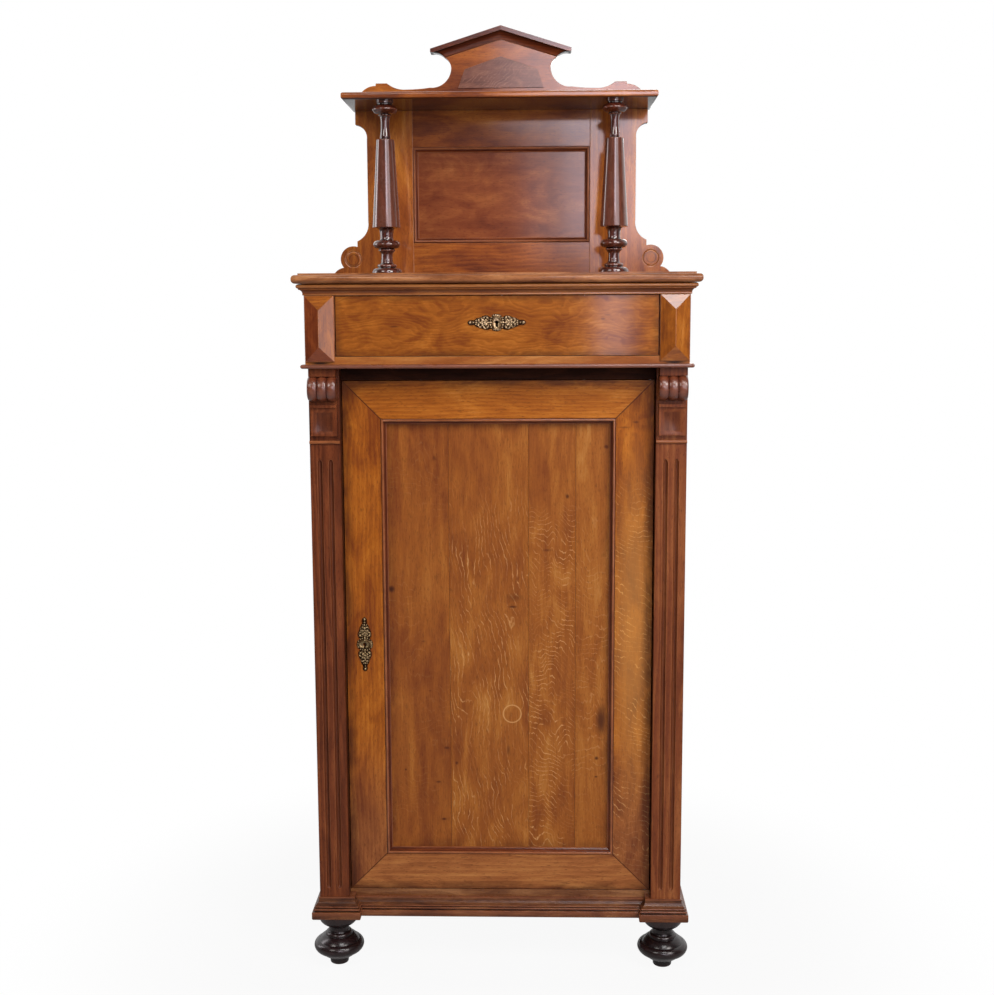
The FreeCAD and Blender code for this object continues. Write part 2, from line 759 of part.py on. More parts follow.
def corbels():
    """Three-reeded scroll on a head block with a sunk, bevelled field."""
    body = new_body("corbel")
    side = ("pilaster_x - corbel_width / 2", "pilaster_x + corbel_width / 2")
    head_face = "pilaster_face - corbel_head_reach"
    fillet_face = "pilaster_face - corbel_fillet_reach"
    gap_face = "pilaster_face - corbel_gap_reach"
    roll_base = "corbel_roll_z - corbel_roll_radius + corbel_reed_depth"
    cap_face = "pilaster_face - corbel_cap_reach"
    outline = [
        ("pilaster_face", "corbel_head_base"),
        (head_face, "corbel_head_base"),
        (head_face, "corbel_fillet_base"),
        (fillet_face, "corbel_fillet_base"),
        (fillet_face, "corbel_gap_base"),
        (gap_face, "corbel_gap_base"),
        (gap_face, roll_base),
        ("corbel_roll_y", roll_base),
        ("corbel_roll_y", "corbel_cap_base"),
        (cap_face, "corbel_cap_base"),
        (cap_face, "section_base"),
        ("pilaster_face", "section_base"),
    ]
    pad(body, "side", side[0], side[1], outline)
    turn(body, "Revolution", "corbel_roll_y", reeds(), "H_Axis", ("pilaster_x", "corbel_roll_z"))
    pocket(body, "side", side[0] + " - overrun", side[1] + " + overrun",
           rectangle(("pilaster_face", "door_face"), ("corbel_head_base", "section_base")))
    field = body.newObject("PartDesign::SubtractiveWedge", "field")
    half_field = "corbel_field_width / 2"
    base = "corbel_head_base + corbel_field_margin"
    head = "corbel_fillet_base - corbel_field_margin"
    bevel = "1.4 * corbel_field_sink"
    bounds = {
        "Xmin": "-" + half_field, "Xmax": half_field, "Zmin": base, "Zmax": head,
        "Ymin": "0", "Ymax": "corbel_field_sink",
        "X2min": "-%s + %s" % (half_field, bevel), "X2max": "%s - %s" % (half_field, bevel),
        "Z2min": "%s + %s" % (base, bevel), "Z2max": "%s - %s" % (head, bevel),
    }
    for name, text in bounds.items():
        bind(field, name, text)
    bind(field, "Placement.Base.x", "pilaster_x")
    bind(field, "Placement.Base.y", "pilaster_face - corbel_head_reach")
    keep("corbel_right", body)
    keep("corbel_left", mirrored(body))


def reeds():
    """Half section of the scroll, along its length: one round reed after another."""
    count = SIZES["corbel_reed_count"]
    valley = "corbel_roll_radius - corbel_reed_depth"
    outline = [("-corbel_width / 2", "0"), ("-corbel_width / 2", valley)]
    for number in range(count):
        middle = "-corbel_width / 2 + %g * corbel_width / corbel_reed_count" % (number + 0.5)
        end = "-corbel_width / 2 + %d * corbel_width / corbel_reed_count" % (number + 1)
        outline += [("via", middle, "corbel_roll_radius"), (end, valley)]
    return outline + [("corbel_width / 2", "0")]


def drawer_section():
    """The projecting box that holds the drawer, with its bead and diamond blocks."""
    keep("section_floor", slab(("-half", "half"), ("section_face", "back_inside"),
                               ("section_base", "drawer_floor")))
    bead = new_body("bead")
    top = "section_base + bead_height"
    profile = [("-half", "section_base"), ("-half", top),
               ("via", "-half - bead_reach", "section_base + bead_height / 2")]
    run(bead, "above", "section_base",
        [("-half", "back_inside"), ("-half", "section_face"), ("half", "section_face"),
         ("half", "back_inside")], "front", "back_inside", profile)
    keep("section_bead", bead)
    wall = slab(("inner", "half"), ("section_post_back", "back_inside"), ("drawer_floor", "top_base"))
    keep("section_sides", pair(wall))
    stile = slab(("drawer_opening_half", "half"), ("section_face", "section_post_back"),
                 ("drawer_floor", "top_base"))
    keep("section_stiles", pair(stile))
    keep("drawer_top_rail", slab(("-drawer_opening_half", "drawer_opening_half"),
                                 ("section_face", "section_post_back"), ("drawer_head", "top_base")))
    guide = slab(("drawer_side_half + guide_play", "inner"),
                 ("drawer_front_back + drawer_gap", "back_inside"),
                 ("drawer_floor", "drawer_floor + guide_height"))
    keep("drawer_guides", pair(guide))
    diamond_blocks()


def diamond_blocks():
    """Raised blocks with four bevels that meet in an upright ridge."""
    middle = "(drawer_opening_half + half) / 2"
    low = "drawer_floor - diamond_skirt"
    base = slab((middle + " - diamond_width / 2", middle + " + diamond_width / 2"),
                ("section_face - diamond_base", "section_face"), (low, "drawer_head"))
    ridge = document.addObject("Part::Wedge", "ridge")
    bounds = {
        "Xmin": "-diamond_width / 2", "Xmax": "diamond_width / 2",
        "Zmin": low, "Zmax": "drawer_head", "Ymin": "0", "Ymax": "diamond_rise",
        "X2min": "0", "X2max": "0",
        "Z2min": low + " + diamond_width / 2", "Z2max": "drawer_head - diamond_width / 2",
    }
    for name, text in bounds.items():
        bind(ridge, name, text)
    ridge.Placement = FreeCAD.Placement(Vector(), Rotation(Vector(0, 0, 1), 180))
    bind(ridge, "Placement.Base.x", middle)
    bind(ridge, "Placement.Base.y", "section_face - diamond_base")
    block = keep("diamond_block_right", fuse([base, ridge]))
    keep("diamond_block_left", mirrored(block))


def top_and_cornice():
    """Cove and bead under a top board with a round edge and a low raised step."""
    cornice = new_body("cornice")
    base = "top_base - cornice_height"
    profile = [shift_place(item, "-half", -1) for item in
               scaled(CORNICE_SHARES, "cornice_bead_reach", "cornice_height", base)]
    run(cornice, "above", base,
        [("-half", "back_face"), ("-half", "section_face"), ("half", "section_face"),
         ("half", "back_face")], "front", "back_face", profile)
    keep("cornice_moulding", cornice)

    board = new_body("board")
    edge = "half + cornice_reach"
    lower = pad(board, "above", "top_base", "top_base + top_thickness",
                rectangle(("-(%s)" % edge, edge), ("top_front", "back_face")))
    round_edges(board, lower, "top_round",
                lambda end: near(end.y, "top_front") or near(abs(end.x), edge))
    inset = edge + " - top_step_inset"
    pad(board, "above", "top_base + top_thickness - top_step", "top_face",
        rectangle(("-(%s)" % inset, inset), ("top_front + top_step_inset", "back_face")))
    keep("top_board", board)


def door():
    """Mitred frame, boarded panel and panel moulding of the one door."""
    outer = ("door_half", "door_foot", "door_head")
    stile_outline = [(outer[0], outer[1]), (outer[0], outer[2]),
                     ("door_field_half", "door_field_high"), ("door_field_half", "door_field_low")]
    stile = new_body("stile")
    pad(stile, "front", "door_face", "door_back", stile_outline)
    pivots = [rod("pivot_x", "pivot_y", span, "pivot_radius") for span in
              (("door_foot - pivot_reach", "door_foot + pivot_length"),
               ("door_head - pivot_length", "door_head + pivot_reach"))]
    bored = cut(stile, fuse([rod("pivot_x", "pivot_y", span, "pivot_radius") for span in
                             (("door_foot", "door_foot + pivot_length"),
                              ("door_head - pivot_length", "door_head"))]))
    lock_stile = new_body("lock_stile")
    pad(lock_stile, "front", "door_face", "door_back",
        [("-(%s)" % x, z) for x, z in stile_outline])
    pocket(lock_stile, "front", "door_face - overrun", "door_back + overrun",
           keyhole("key_x", "door_key_height"))
    keep("door_stiles", group([bored, lock_stile]))

    rails = []
    for ends in (("door_foot", "door_field_low"), ("door_head", "door_field_high")):
        rail = new_body("rail")
        pad(rail, "front", "door_face", "door_back",
            [("-door_half", ends[0]), ("door_half", ends[0]),
             ("door_field_half", ends[1]), ("-door_field_half", ends[1])])
        bore = rod("pivot_x", "pivot_y",
                   (ends[0] + " - pivot_length", ends[0] + " + pivot_length"), "pivot_radius")
        rails.append(cut(rail, bore))
    keep("door_rails", group(rails))

    collar_play = "pivot_collar_play"
    collar = rod("pivot_x", "pivot_y", ("floor_top + " + collar_play, "door_foot"),
                 "pivot_collar_radius")
    keep("door_pivots", group([fuse([pivots[0], collar]), pivots[1]]))

    keep("door_panel", slab(("-door_field_half", "door_field_half"),
                            ("door_panel_face", "door_panel_face + door_panel_thickness"),
                            ("door_field_low", "door_field_high")))
    proud = "door_face - door_moulding_rise"
    keep("door_moulding", panel_moulding("door_field_half", "door_field_low", "door_field_high",
                                         proud, "door_panel_face", "door_moulding_width"))


def panel_moulding(half_field, low, high, proud, floor, width):
    """Mitred moulding in a framed field: a bead at the frame, then an ogee to the panel."""
    body = new_body("moulding")
    path = [("0", low), (half_field, low), (half_field, high), ("-" + half_field, high),
            ("-" + half_field, low)]
    sink = "(%s - (%s))" % (floor, proud)
    profile = [
        (floor, low),
        (proud, low),
        ("via", "%s - 0.10 * %s" % (proud, sink), "%s + 0.14 * %s" % (low, width)),
        (proud, "%s + 0.30 * %s" % (low, width)),
        ("%s + 0.25 * %s" % (proud, sink), "%s + 0.36 * %s" % (low, width)),
        ("via", "%s + 0.62 * %s" % (proud, sink), "%s + 0.56 * %s" % (low, width)),
        ("%s + 0.80 * %s" % (proud, sink), "%s + %s" % (low, width)),
        (floor, "%s + %s" % (low, width)),
    ]
    run(body, "front", floor, path, "side", "0", profile, closed=True)
    return body


def keyhole(x, z):
    """A round hole with a slot hanging from it."""
    joint = "%s - keyhole_radius * 0.8" % z
    return [
        (x + " - keyhole_slot", joint),
        ("via", x, z + " + keyhole_radius"),
        (x + " + keyhole_slot", joint),
        (x + " + keyhole_slot", z + " - keyhole_drop"),
        (x + " - keyhole_slot", z + " - keyhole_drop"),
    ]


def escutcheons():
    """Cast plates round the two keyholes, upright on the door and lying on the drawer."""
    half_outline = scaled(ESCUTCHEON_SHARES, "escutcheon_half_width", "escutcheon_half_height")
    outline = both_halves(half_outline)
    upright = new_body("plate")
    face = "door_face - escutcheon_thickness"
    pad(upright, "front", face, "door_face",
        [moved(item, "key_x", "door_key_height") for item in outline])
    pocket(upright, "front", face + " - overrun", "door_face + overrun",
           keyhole("key_x", "door_key_height"))
    keep("door_escutcheon", upright)
    lying = new_body("plate")
    face = "drawer_face - escutcheon_thickness"
    swapped = [item[:-2] + (item[-1], item[-2]) for item in outline]
    pad(lying, "front", face, "drawer_face",
        [moved(item, "0", "drawer_key_z") for item in swapped])
    pocket(lying, "front", face + " - overrun", "drawer_face + overrun",
           keyhole("0", "drawer_key_z"))
    keep("drawer_escutcheon", lying)


def moved(item, x, y):
    """Carry one outline item to a new origin."""
    place = ("%s + %s" % (x, item[-2]), "%s + %s" % (y, item[-1]))
    return ("via",) + place if item[0] == "via" else place


def door_lock():
    """Rim lock on the back of the door, its bolt, and the plate that the bolt slides behind."""
    low = "door_key_height - door_lock_height / 2"
    depth = ("door_back", "door_back + door_lock_thickness")
    case = slab(("door_lock_left", "door_lock_left + door_lock_width"), depth,
                (low, low + " + door_lock_height"))
    bolt_span = ("door_key_height - bolt_width / 2", "door_key_height + bolt_width / 2")
    bolt = slab(("door_lock_left", "door_lock_left + bolt_length"),
                ("bolt_y", "bolt_y + bolt_thickness"), bolt_span)
    channel = slab(("door_lock_left - lock_wall", "door_lock_left + bolt_length + bolt_play"),
                   ("bolt_y - bolt_play", "bolt_y + bolt_thickness + bolt_play"),
                   (bolt_span[0] + " - bolt_play", bolt_span[1] + " + bolt_play"))
    keep("door_lock", cut(case, channel))
    keep("door_bolt", bolt)
    strike = slab(("-opening - keeper_width", "-opening"),
                  ("post_back", "post_back + keeper_thickness"),
                  ("door_key_height - keeper_length / 2", "door_key_height + keeper_length / 2"))
    plate = slab(("-keeper_length / 2", "keeper_length / 2"),
                 ("section_post_back", "section_post_back + keeper_thickness"),
                 ("drawer_head", "drawer_head + keeper_width"))
    keep("keepers", group([strike, plate]))


def drawer():
    """Drawer box, its front with a keyhole, and its lock."""
    front = new_body("front")
    pad(front, "front", "drawer_face", "drawer_front_back",
        rectangle(("-drawer_half", "drawer_half"), ("drawer_foot", "drawer_crown")))
    pocket(front, "front", "drawer_face - overrun", "drawer_front_back + overrun",
           keyhole("0", "drawer_key_z"))
    keep("drawer_front", front)
    inner_half = "drawer_side_half - drawer_side_thickness"
    side = slab((inner_half, "drawer_side_half"), ("drawer_front_back", "drawer_end"),
                ("drawer_side_foot", "drawer_side_head"))
    keep("drawer_sides", pair(side))
    across = ("-(%s)" % inner_half, inner_half)
    floor = ("drawer_side_foot + drawer_bottom_rise",
             "drawer_side_foot + drawer_bottom_rise + drawer_bottom_thickness")
    keep("drawer_back", slab(across, ("drawer_end - drawer_side_thickness", "drawer_end"),
                             (floor[1], "drawer_side_head")))
    keep("drawer_bottom", slab(across, ("drawer_front_back", "drawer_end"), floor))

    low = "drawer_lock_top - drawer_lock_height"
    case = slab(("-drawer_lock_width / 2", "drawer_lock_width / 2"),
                ("drawer_front_back", "drawer_front_back + drawer_lock_thickness"),
                (low, "drawer_lock_top"))
    bolt_span = ("-bolt_width / 2", "bolt_width / 2")
    bolt = slab(bolt_span, ("drawer_bolt_y", "drawer_bolt_y + bolt_thickness"),
                ("drawer_lock_top - bolt_length", "drawer_lock_top"))
    channel = slab((bolt_span[0] + " - bolt_play", bolt_span[1] + " + bolt_play"),
                   ("drawer_bolt_y - bolt_play", "drawer_bolt_y + bolt_thickness + bolt_play"),
                   ("drawer_lock_top - bolt_length - bolt_play", "drawer_lock_top + lock_wall"))
    keep("drawer_lock", cut(case, channel))
    keep("drawer_bolt", bolt)


def gallery():
    """Shaped frame, panel, shelf and the two turned columns."""
    stile = new_body("stile")
    diagonal_share = 0.707
    outline = [
        ("gallery_stile_inner", "top_face"),
        ("gallery_foot_half", "top_face"),
        ("via", "scroll_centre_half + 0.85 * (gallery_foot_half - scroll_centre_half)",
         "top_face + 0.36 * scroll_centre_height"),
        ("scroll_centre_half + 0.76 * scroll_radius", "scroll_z - 0.65 * scroll_radius"),
        ("via", "scroll_centre_half + %g * scroll_radius" % diagonal_share,
         "scroll_z + %g * scroll_radius" % diagonal_share),
        ("gallery_ear_half",
         "scroll_z + sqrt(scroll_radius^2 - (scroll_centre_half - gallery_ear_half)^2)"),
        ("gallery_ear_half", "cusp_z"),
        ("via", "gallery_waist_half + 0.25 * (gallery_ear_half - gallery_waist_half)",
         "cusp_z + 0.36 * gallery_cove_rise"),
        ("gallery_waist_half", "cusp_z + gallery_cove_rise"),
        ("gallery_waist_half", "ear_z - gallery_ear_cove"),
        ("via", "gallery_waist_half + 0.28 * (gallery_ear_half - gallery_waist_half)",
         "ear_z - 0.28 * gallery_ear_cove"),
        ("gallery_ear_half", "ear_z"),
        ("gallery_ear_half", "gallery_shelf_base"),
        ("gallery_stile_inner", "gallery_shelf_base"),
    ]
    pad(stile, "front", "gallery_face", "gallery_back", outline)
    ring = [("scroll_groove_radius", "gallery_face"),
            ("scroll_groove_radius - scroll_groove_width", "gallery_face"),
            ("scroll_groove_radius - scroll_groove_width / 2", "gallery_face + scroll_groove_depth")]
    groove = stile.newObject("PartDesign::Groove", "scroll")
    sketch = outline_sketch(stile, "above", "scroll_z", ring, ("scroll_centre_half", "0"))
    groove.Profile = sketch
    groove.ReferenceAxis = (sketch, ["V_Axis"])
    groove.Angle = 360
    keep("gallery_stile_right", stile)
    keep("gallery_stile_left", mirrored(stile))

    across = ("-gallery_stile_inner", "gallery_stile_inner")
    thick = ("gallery_face", "gallery_back")
    keep("gallery_rails", group([slab(across, thick, ("top_face", "gallery_field_low")),
                                 slab(across, thick, ("gallery_field_high", "gallery_shelf_base"))]))
    keep("gallery_panel", slab(across, ("gallery_panel_face",
                                        "gallery_panel_face + gallery_panel_thickness"),
                               ("gallery_field_low", "gallery_field_high")))
    keep("gallery_moulding",
         panel_moulding("gallery_stile_inner", "gallery_field_low", "gallery_field_high",
                        "gallery_face - gallery_moulding_rise", "gallery_panel_face",
                        "gallery_moulding_width"))
    shelf = new_body("shelf")
    board = pad(shelf, "above", "gallery_shelf_base", "crest_base",
                rectangle(("-gallery_shelf_half", "gallery_shelf_half"),
                          ("gallery_shelf_front", "gallery_back")))
    round_edges(shelf, board, "gallery_shelf_round",
                lambda end: near(end.y, "gallery_shelf_front")
                or near(abs(end.x), "gallery_shelf_half"))
    keep("gallery_shelf", shelf)
    outline = scaled(COLUMN_SHARES, "column_radius", "gallery_height") + [("0", "gallery_height")]
    for side, x in (("left", "-column_half"), ("right", "column_half")):
        column = new_body("column")
        turn(column, "Revolution", "0", outline, "V_Axis")
        bind(column, "Placement.Base.x", x)
        bind(column, "Placement.Base.y", "column_y")
        bind(column, "Placement.Base.z", "top_face")
        keep("column_" + side, column)


def crest():
    """Shaped crest board with a five-sided plaque under a raking cornice."""
    half_outline = [
        ("0", "crest_base"),
        ("crest_end_half", "crest_base"),
        ("via", "crest_hump_half + 0.707 * (crest_end_half - crest_hump_half)",
         "crest_base + 0.707 * (crest_end_round - crest_hump_step / 2)"),
        ("crest_hump_half", "hump_z - crest_hump_step / 2"),
        ("crest_hump_half", "hump_z + crest_hump_step / 2"),
        ("crest_hump_inner", "hump_z + crest_hump_step / 2"),
        ("via", "(crest_hump_inner + crest_valley_half) / 2 + crest_hump_step / 2",
         "valley_z + 0.30 * (hump_z - valley_z)"),
        ("crest_valley_half", "valley_z"),
        ("via", "(crest_valley_half + crest_sweep_half) / 2",
         "valley_z + 0.25 * crest_sweep_rise"),
        ("crest_sweep_half", "valley_z + crest_sweep_rise"),
        ("via", "crest_neck_half + 0.28 * (crest_sweep_half - crest_neck_half)",
         "valley_z + crest_sweep_rise + 0.30 * (neck_z - valley_z - crest_sweep_rise)"),
        ("crest_neck_half", "neck_z"),
        ("via", "crest_neck_half + 0.28 * (crest_tablet_half - crest_neck_half)",
         "neck_z + 0.62 * (tablet_top - neck_z)"),
        ("crest_tablet_half", "tablet_top"),
        ("0", "crest_peak - raking_depth"),
    ]
    board = new_body("crest")
    pad(board, "front", "crest_face", "gallery_back", both_halves(half_outline))
    keep("crest_board", board)

    cornice = new_body("raking")
    front = "crest_face - raking_reach"
    section = outline_sketch(cornice, "side", "0", [
        ("crest_face", "crest_peak - raking_depth"),
        ("via", "%s + 0.66 * raking_reach" % front, "crest_peak - 0.62 * raking_depth"),
        (front + " + raking_reach / 5", "crest_peak - raking_fillet"),
        (front, "crest_peak - raking_fillet"),
        (front, "crest_peak"),
        ("gallery_back", "crest_peak"),
        ("gallery_back", "crest_peak - raking_depth"),
    ])
    slope = cornice.newObject("PartDesign::Pad", "slope")
    slope.Profile = section
    slope.UseCustomVector = True
    bind(slope, "Direction.x", "raking_half")
    bind(slope, "Direction.z", "-raking_fall")
    bind(slope, "Length", "sqrt(raking_half^2 + raking_fall^2)")
    end = "crest_peak - raking_fall"
    pocket(cornice, "front", front + " - overrun", "gallery_back + overrun", [
        ("raking_half", end + " - raking_fillet"),
        ("raking_half + raking_fillet", end + " - raking_fillet"),
        ("raking_half + raking_fillet", end + " - 2 * raking_depth"),
        ("crest_tablet_half", end + " - 2 * raking_depth"),
        ("crest_tablet_half", "tablet_top"),
        ("via", "crest_tablet_half + 0.34 * (raking_half - crest_tablet_half)",
         "tablet_top + 0.70 * (%s - raking_fillet - tablet_top)" % end),
    ])
    twin = cornice.newObject("PartDesign::Mirrored", "twin")
    twin.Originals = [item for item in cornice.Group if item.isDerivedFrom("PartDesign::Feature")
                      and item is not twin]
    plane = next(item for item in cornice.Origin.OriginFeatures if item.Role == "YZ_Plane")
    twin.MirrorPlane = (plane, [""])
    cornice.Tip = twin
    keep("crest_cornice", cornice)

    plaque = new_body("plaque")
    half_plaque = [("0", "crest_base + plaque_low"), ("plaque_half", "crest_base + plaque_low"),
                   ("plaque_shoulder_half", "crest_base + plaque_shoulder"),
                   ("0", "crest_base + plaque_peak")]
    pad(plaque, "front", "crest_face - plaque_thickness", "crest_face", both_halves(half_plaque))
    keep("crest_plaque", plaque)


def check_and_write():
    """Refuse any failed feature or broken shape, then write each node's solids."""
    document.recompute()
    for item in document.Objects:
        if "Invalid" in item.State or "Error" in item.State:
            raise ValueError("%s (%s) failed: %s" % (item.Label, item.Name, item.State))
    os.makedirs("parts", exist_ok=True)
    for item in nodes:
        shape = item.Shape
        if shape.isNull() or not shape.isValid() or not shape.Solids:
            raise ValueError("%s has no sound solid" % item.Label)
        shape.exportStep("parts/%s.step" % item.Label)
        print("%-22s %d solid(s) %10.1f cm3" % (item.Label, len(shape.Solids), shape.Volume / 1000))


fill_book()
feet()
base_framing()
plinth()
case_boards()
pilasters()
corbels()
drawer_section()
top_and_cornice()
door()
escutcheons()
door_lock()
drawer()
gallery()
crest()
check_and_write()
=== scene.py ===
"""Gallery cupboard of stained and shellacked oak: finishes, carving, turnings and brass."""
import logging
import math
from dataclasses import dataclass, field, replace
from enum import Enum
from typing import Any, Mapping, Sequence

import bmesh
import bpy
import numpy as np
from mathutils import Matrix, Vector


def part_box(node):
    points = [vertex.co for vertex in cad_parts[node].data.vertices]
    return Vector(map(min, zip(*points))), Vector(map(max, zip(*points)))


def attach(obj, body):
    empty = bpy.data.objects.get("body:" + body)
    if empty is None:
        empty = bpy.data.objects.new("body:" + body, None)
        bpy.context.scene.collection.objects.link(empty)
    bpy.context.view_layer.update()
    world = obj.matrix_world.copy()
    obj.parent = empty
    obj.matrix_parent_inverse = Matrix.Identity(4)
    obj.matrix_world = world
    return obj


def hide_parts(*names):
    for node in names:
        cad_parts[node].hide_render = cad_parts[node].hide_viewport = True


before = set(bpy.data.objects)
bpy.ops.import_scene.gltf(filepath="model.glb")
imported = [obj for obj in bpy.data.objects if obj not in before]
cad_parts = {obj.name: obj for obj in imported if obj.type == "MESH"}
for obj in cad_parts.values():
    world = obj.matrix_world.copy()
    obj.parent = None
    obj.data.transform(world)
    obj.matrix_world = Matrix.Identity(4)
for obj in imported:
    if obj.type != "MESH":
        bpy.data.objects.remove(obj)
log = logging.getLogger("gallery_cupboard")

MM = 0.001
Socket = bpy.types.NodeSocket
Step = tuple[float, ...]
Stops = tuple[tuple[float, str], ...]


def linear(colour: str) -> tuple[float, float, float, float]:
    """Turn an sRGB hex colour into the linear colour that a shader takes.

    Args:
        colour: six hex digits.

    Returns:
        Red, green, blue and alpha, linear.
    """
    parts = [int(colour[place:place + 2], 16) / 255 for place in (0, 2, 4)]
    lit = [part / 12.92 if part <= 0.04045 else ((part + 0.055) / 1.055) ** 2.4 for part in parts]
    return (lit[0], lit[1], lit[2], 1.0)


def span(node: str) -> tuple[np.ndarray, np.ndarray]:
    """Give a node's lowest and highest corner in millimetres.

    Args:
        node: name of a node of the fixed frame.

    Returns:
        The lowest and the highest corner.
    """
    low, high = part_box(node)
    return np.array(low) / MM, np.array(high) / MM


def put(name: str, data: bpy.types.ID) -> bpy.types.Object:
    """Put a new object with its mesh, lamp or camera in the scene."""
    thing = bpy.data.objects.new(name, data)
    bpy.context.scene.collection.objects.link(thing)
    return thing


def trace(steps: Sequence[Step], turns: int = 10) -> np.ndarray:
    """Turn a drawn outline into points.

    Each step runs from the last place to (a, b). A third number bends it into an arc: it is the
    arc's rise over half its chord, towards the right of the way it runs, and 1 is a half round.
    With half angle h = 2 atan(bend) and radius R = chord / (2 sin h), a point of the arc is
    middle + R sin(t) along + R (cos(t) - cos(h)) right, for t from -h to h.

    Args:
        steps: the places, in order.
        turns: points given to each arc.

    Returns:
        The outline's points, one row each.
    """
    points = [np.array([steps[0][:2]], float)]
    for start, step in zip(steps, steps[1:]):
        first, last = np.array(start[:2], float), np.array(step[:2], float)
        if len(step) < 3:
            points.append(last[None])
            continue
        chord = last - first
        length = float(np.hypot(*chord))
        along = chord / length
        right = np.array((along[1], -along[0]))
        half = 2 * math.atan(step[2])
        radius = length / (2 * math.sin(half))
        turn = half * np.linspace(-1, 1, turns + 1)[1:, None]
        points.append((first + last) / 2 + radius * (np.sin(turn) * along
                                                     + (np.cos(turn) - math.cos(half)) * right))
    return np.concatenate(points)


def handling(outline: np.ndarray, reach: float = 1.6, closed: bool = False) -> np.ndarray:
    """Say how far each point of an outline stands out (+1) or lies in a hollow (-1).

    The value is the sum of the outline's left turns near the point, each weighted by
    exp(-(distance along the outline / reach)^2 / 2).

    Args:
        outline: points in order, its solid side on the left.
        reach: how far along the outline a turn counts, in millimetres.
        closed: whether the last point leads back to the first.

    Returns:
        One value from -1 to 1 for each point.
    """
    ring = np.vstack((outline[-1:], outline, outline[:1])) if closed else np.vstack(
        (2 * outline[:1] - outline[1:2], outline, 2 * outline[-1:] - outline[-2:-1]))
    edges = np.diff(ring, axis=0)
    heading = np.arctan2(edges[:, 1], edges[:, 0])
    turn = (np.diff(heading) + np.pi) % (2 * np.pi) - np.pi
    travelled = np.concatenate(([0.0], np.cumsum(np.hypot(*np.diff(outline, axis=0).T))))
    weight = np.exp(-((travelled[:, None] - travelled[None, :]) / reach) ** 2 / 2)
    return np.clip(weight @ turn / 1.4, -1, 1)


def three_sides(half: float, back: float, face: float, level: float) -> list[tuple[float, ...]]:
    """Give the path of a moulding round the left side, the front and the right side."""
    return [(-half, back, level), (-half, face, level), (half, face, level), (half, back, level)]


class Shell:
    """One closed skin, made of sheets of points that meet edge to edge, in millimetres."""

    def __init__(self, slot: int = 0) -> None:
        """Start an empty skin that shows one of its piece's finishes."""
        self.slot = slot
        self.points: list[np.ndarray] = []
        self.grain: list[np.ndarray] = []
        self.wear: list[np.ndarray] = []
        self.faces: list[list[int]] = []
        self.slots: list[int] = []
        self.total = 0

    def sheet(self, points: np.ndarray, grain: np.ndarray | None = None,
              wear: np.ndarray | float = 0.0, slot: int = -1) -> np.ndarray:
        """Add a sheet of four-sided faces over rows and columns of points.

        Args:
            points: rows by columns by 3.
            grain: across, through and along the wood at each point; the place itself if left out.
            wear: how far each point stands out, from -1 in a hollow to 1 on a crest; the wood is rubbed
                pale on crests and darkened in hollows with dust and painted shade.
            slot: which finish the sheet shows, or -1 for the skin's own.

        Returns:
            The points' numbers, rows by columns.
        """
        rows, columns = points.shape[:2]
        numbers = self.total + np.arange(rows * columns).reshape(rows, columns)
        self.total += rows * columns
        self.points.append(points.reshape(-1, 3))
        self.grain.append((points if grain is None else grain).reshape(-1, 3))
        self.wear.append(np.broadcast_to(wear, (rows, columns)).reshape(-1))
        quads = np.stack((numbers[:-1, :-1], numbers[:-1, 1:], numbers[1:, 1:], numbers[1:, :-1]), -1)
        self.faces.extend(quads.reshape(-1, 4).tolist())
        self.slots.extend([slot] * ((rows - 1) * (columns - 1)))
        return numbers

    def lid(self, numbers: np.ndarray) -> None:
        """Close a ring of points with one flat face."""
        self.faces.append(numbers.tolist())
        self.slots.append(-1)

    def seal(self) -> bpy.types.Mesh:
        """Merge the sheets' shared edges and turn every face outwards.

        Returns:
            A mesh in metres with the corner attributes grain and wear.
        """
        mesh = bpy.data.meshes.new("skin")
        mesh.from_pydata((np.concatenate(self.points) * MM).tolist(), [], self.faces)
        corners = np.empty(len(mesh.loops), np.int32)
        mesh.loops.foreach_get("vertex_index", corners)
        grain = mesh.attributes.new("grain", "FLOAT_VECTOR", "CORNER")
        grain.data.foreach_set("vector", (np.concatenate(self.grain) * MM)[corners].ravel())
        wear = mesh.attributes.new("wear", "FLOAT", "CORNER")
        wear.data.foreach_set("value", np.concatenate(self.wear)[corners])
        slots = np.array(self.slots, np.int32)
        mesh.polygons.foreach_set("material_index", np.where(slots < 0, self.slot, slots))
        sealed = bmesh.new()
        sealed.from_mesh(mesh)
        bmesh.ops.remove_doubles(sealed, verts=sealed.verts, dist=0.002 * MM)
        bmesh.ops.recalc_face_normals(sealed, faces=sealed.faces)
        sealed.to_mesh(mesh)
        sealed.free()
        return mesh


def turned(outline: np.ndarray, foot: Sequence[float], sides: int) -> Shell:
    """Spin an outline of (radius, level) about an upright line.

    Point = foot + radius (cos a, sin a) + level upwards, for a full turn of a.

    Args:
        outline: radius and level of each point, starting and ending on the line.
        foot: a place on the line, where level is 0.
        sides: faces round the turning.

    Returns:
        The closed skin.
    """
    turn = np.linspace(0, 2 * np.pi, sides + 1)
    radius, level = outline[:, :1], outline[:, 1:]
    places = np.stack((radius * np.cos(turn), radius * np.sin(turn), level * np.ones_like(turn)), -1)
    shell = Shell()
    shell.sheet(places + np.array(foot, float), grain=places, wear=handling(outline)[:, None])
    return shell


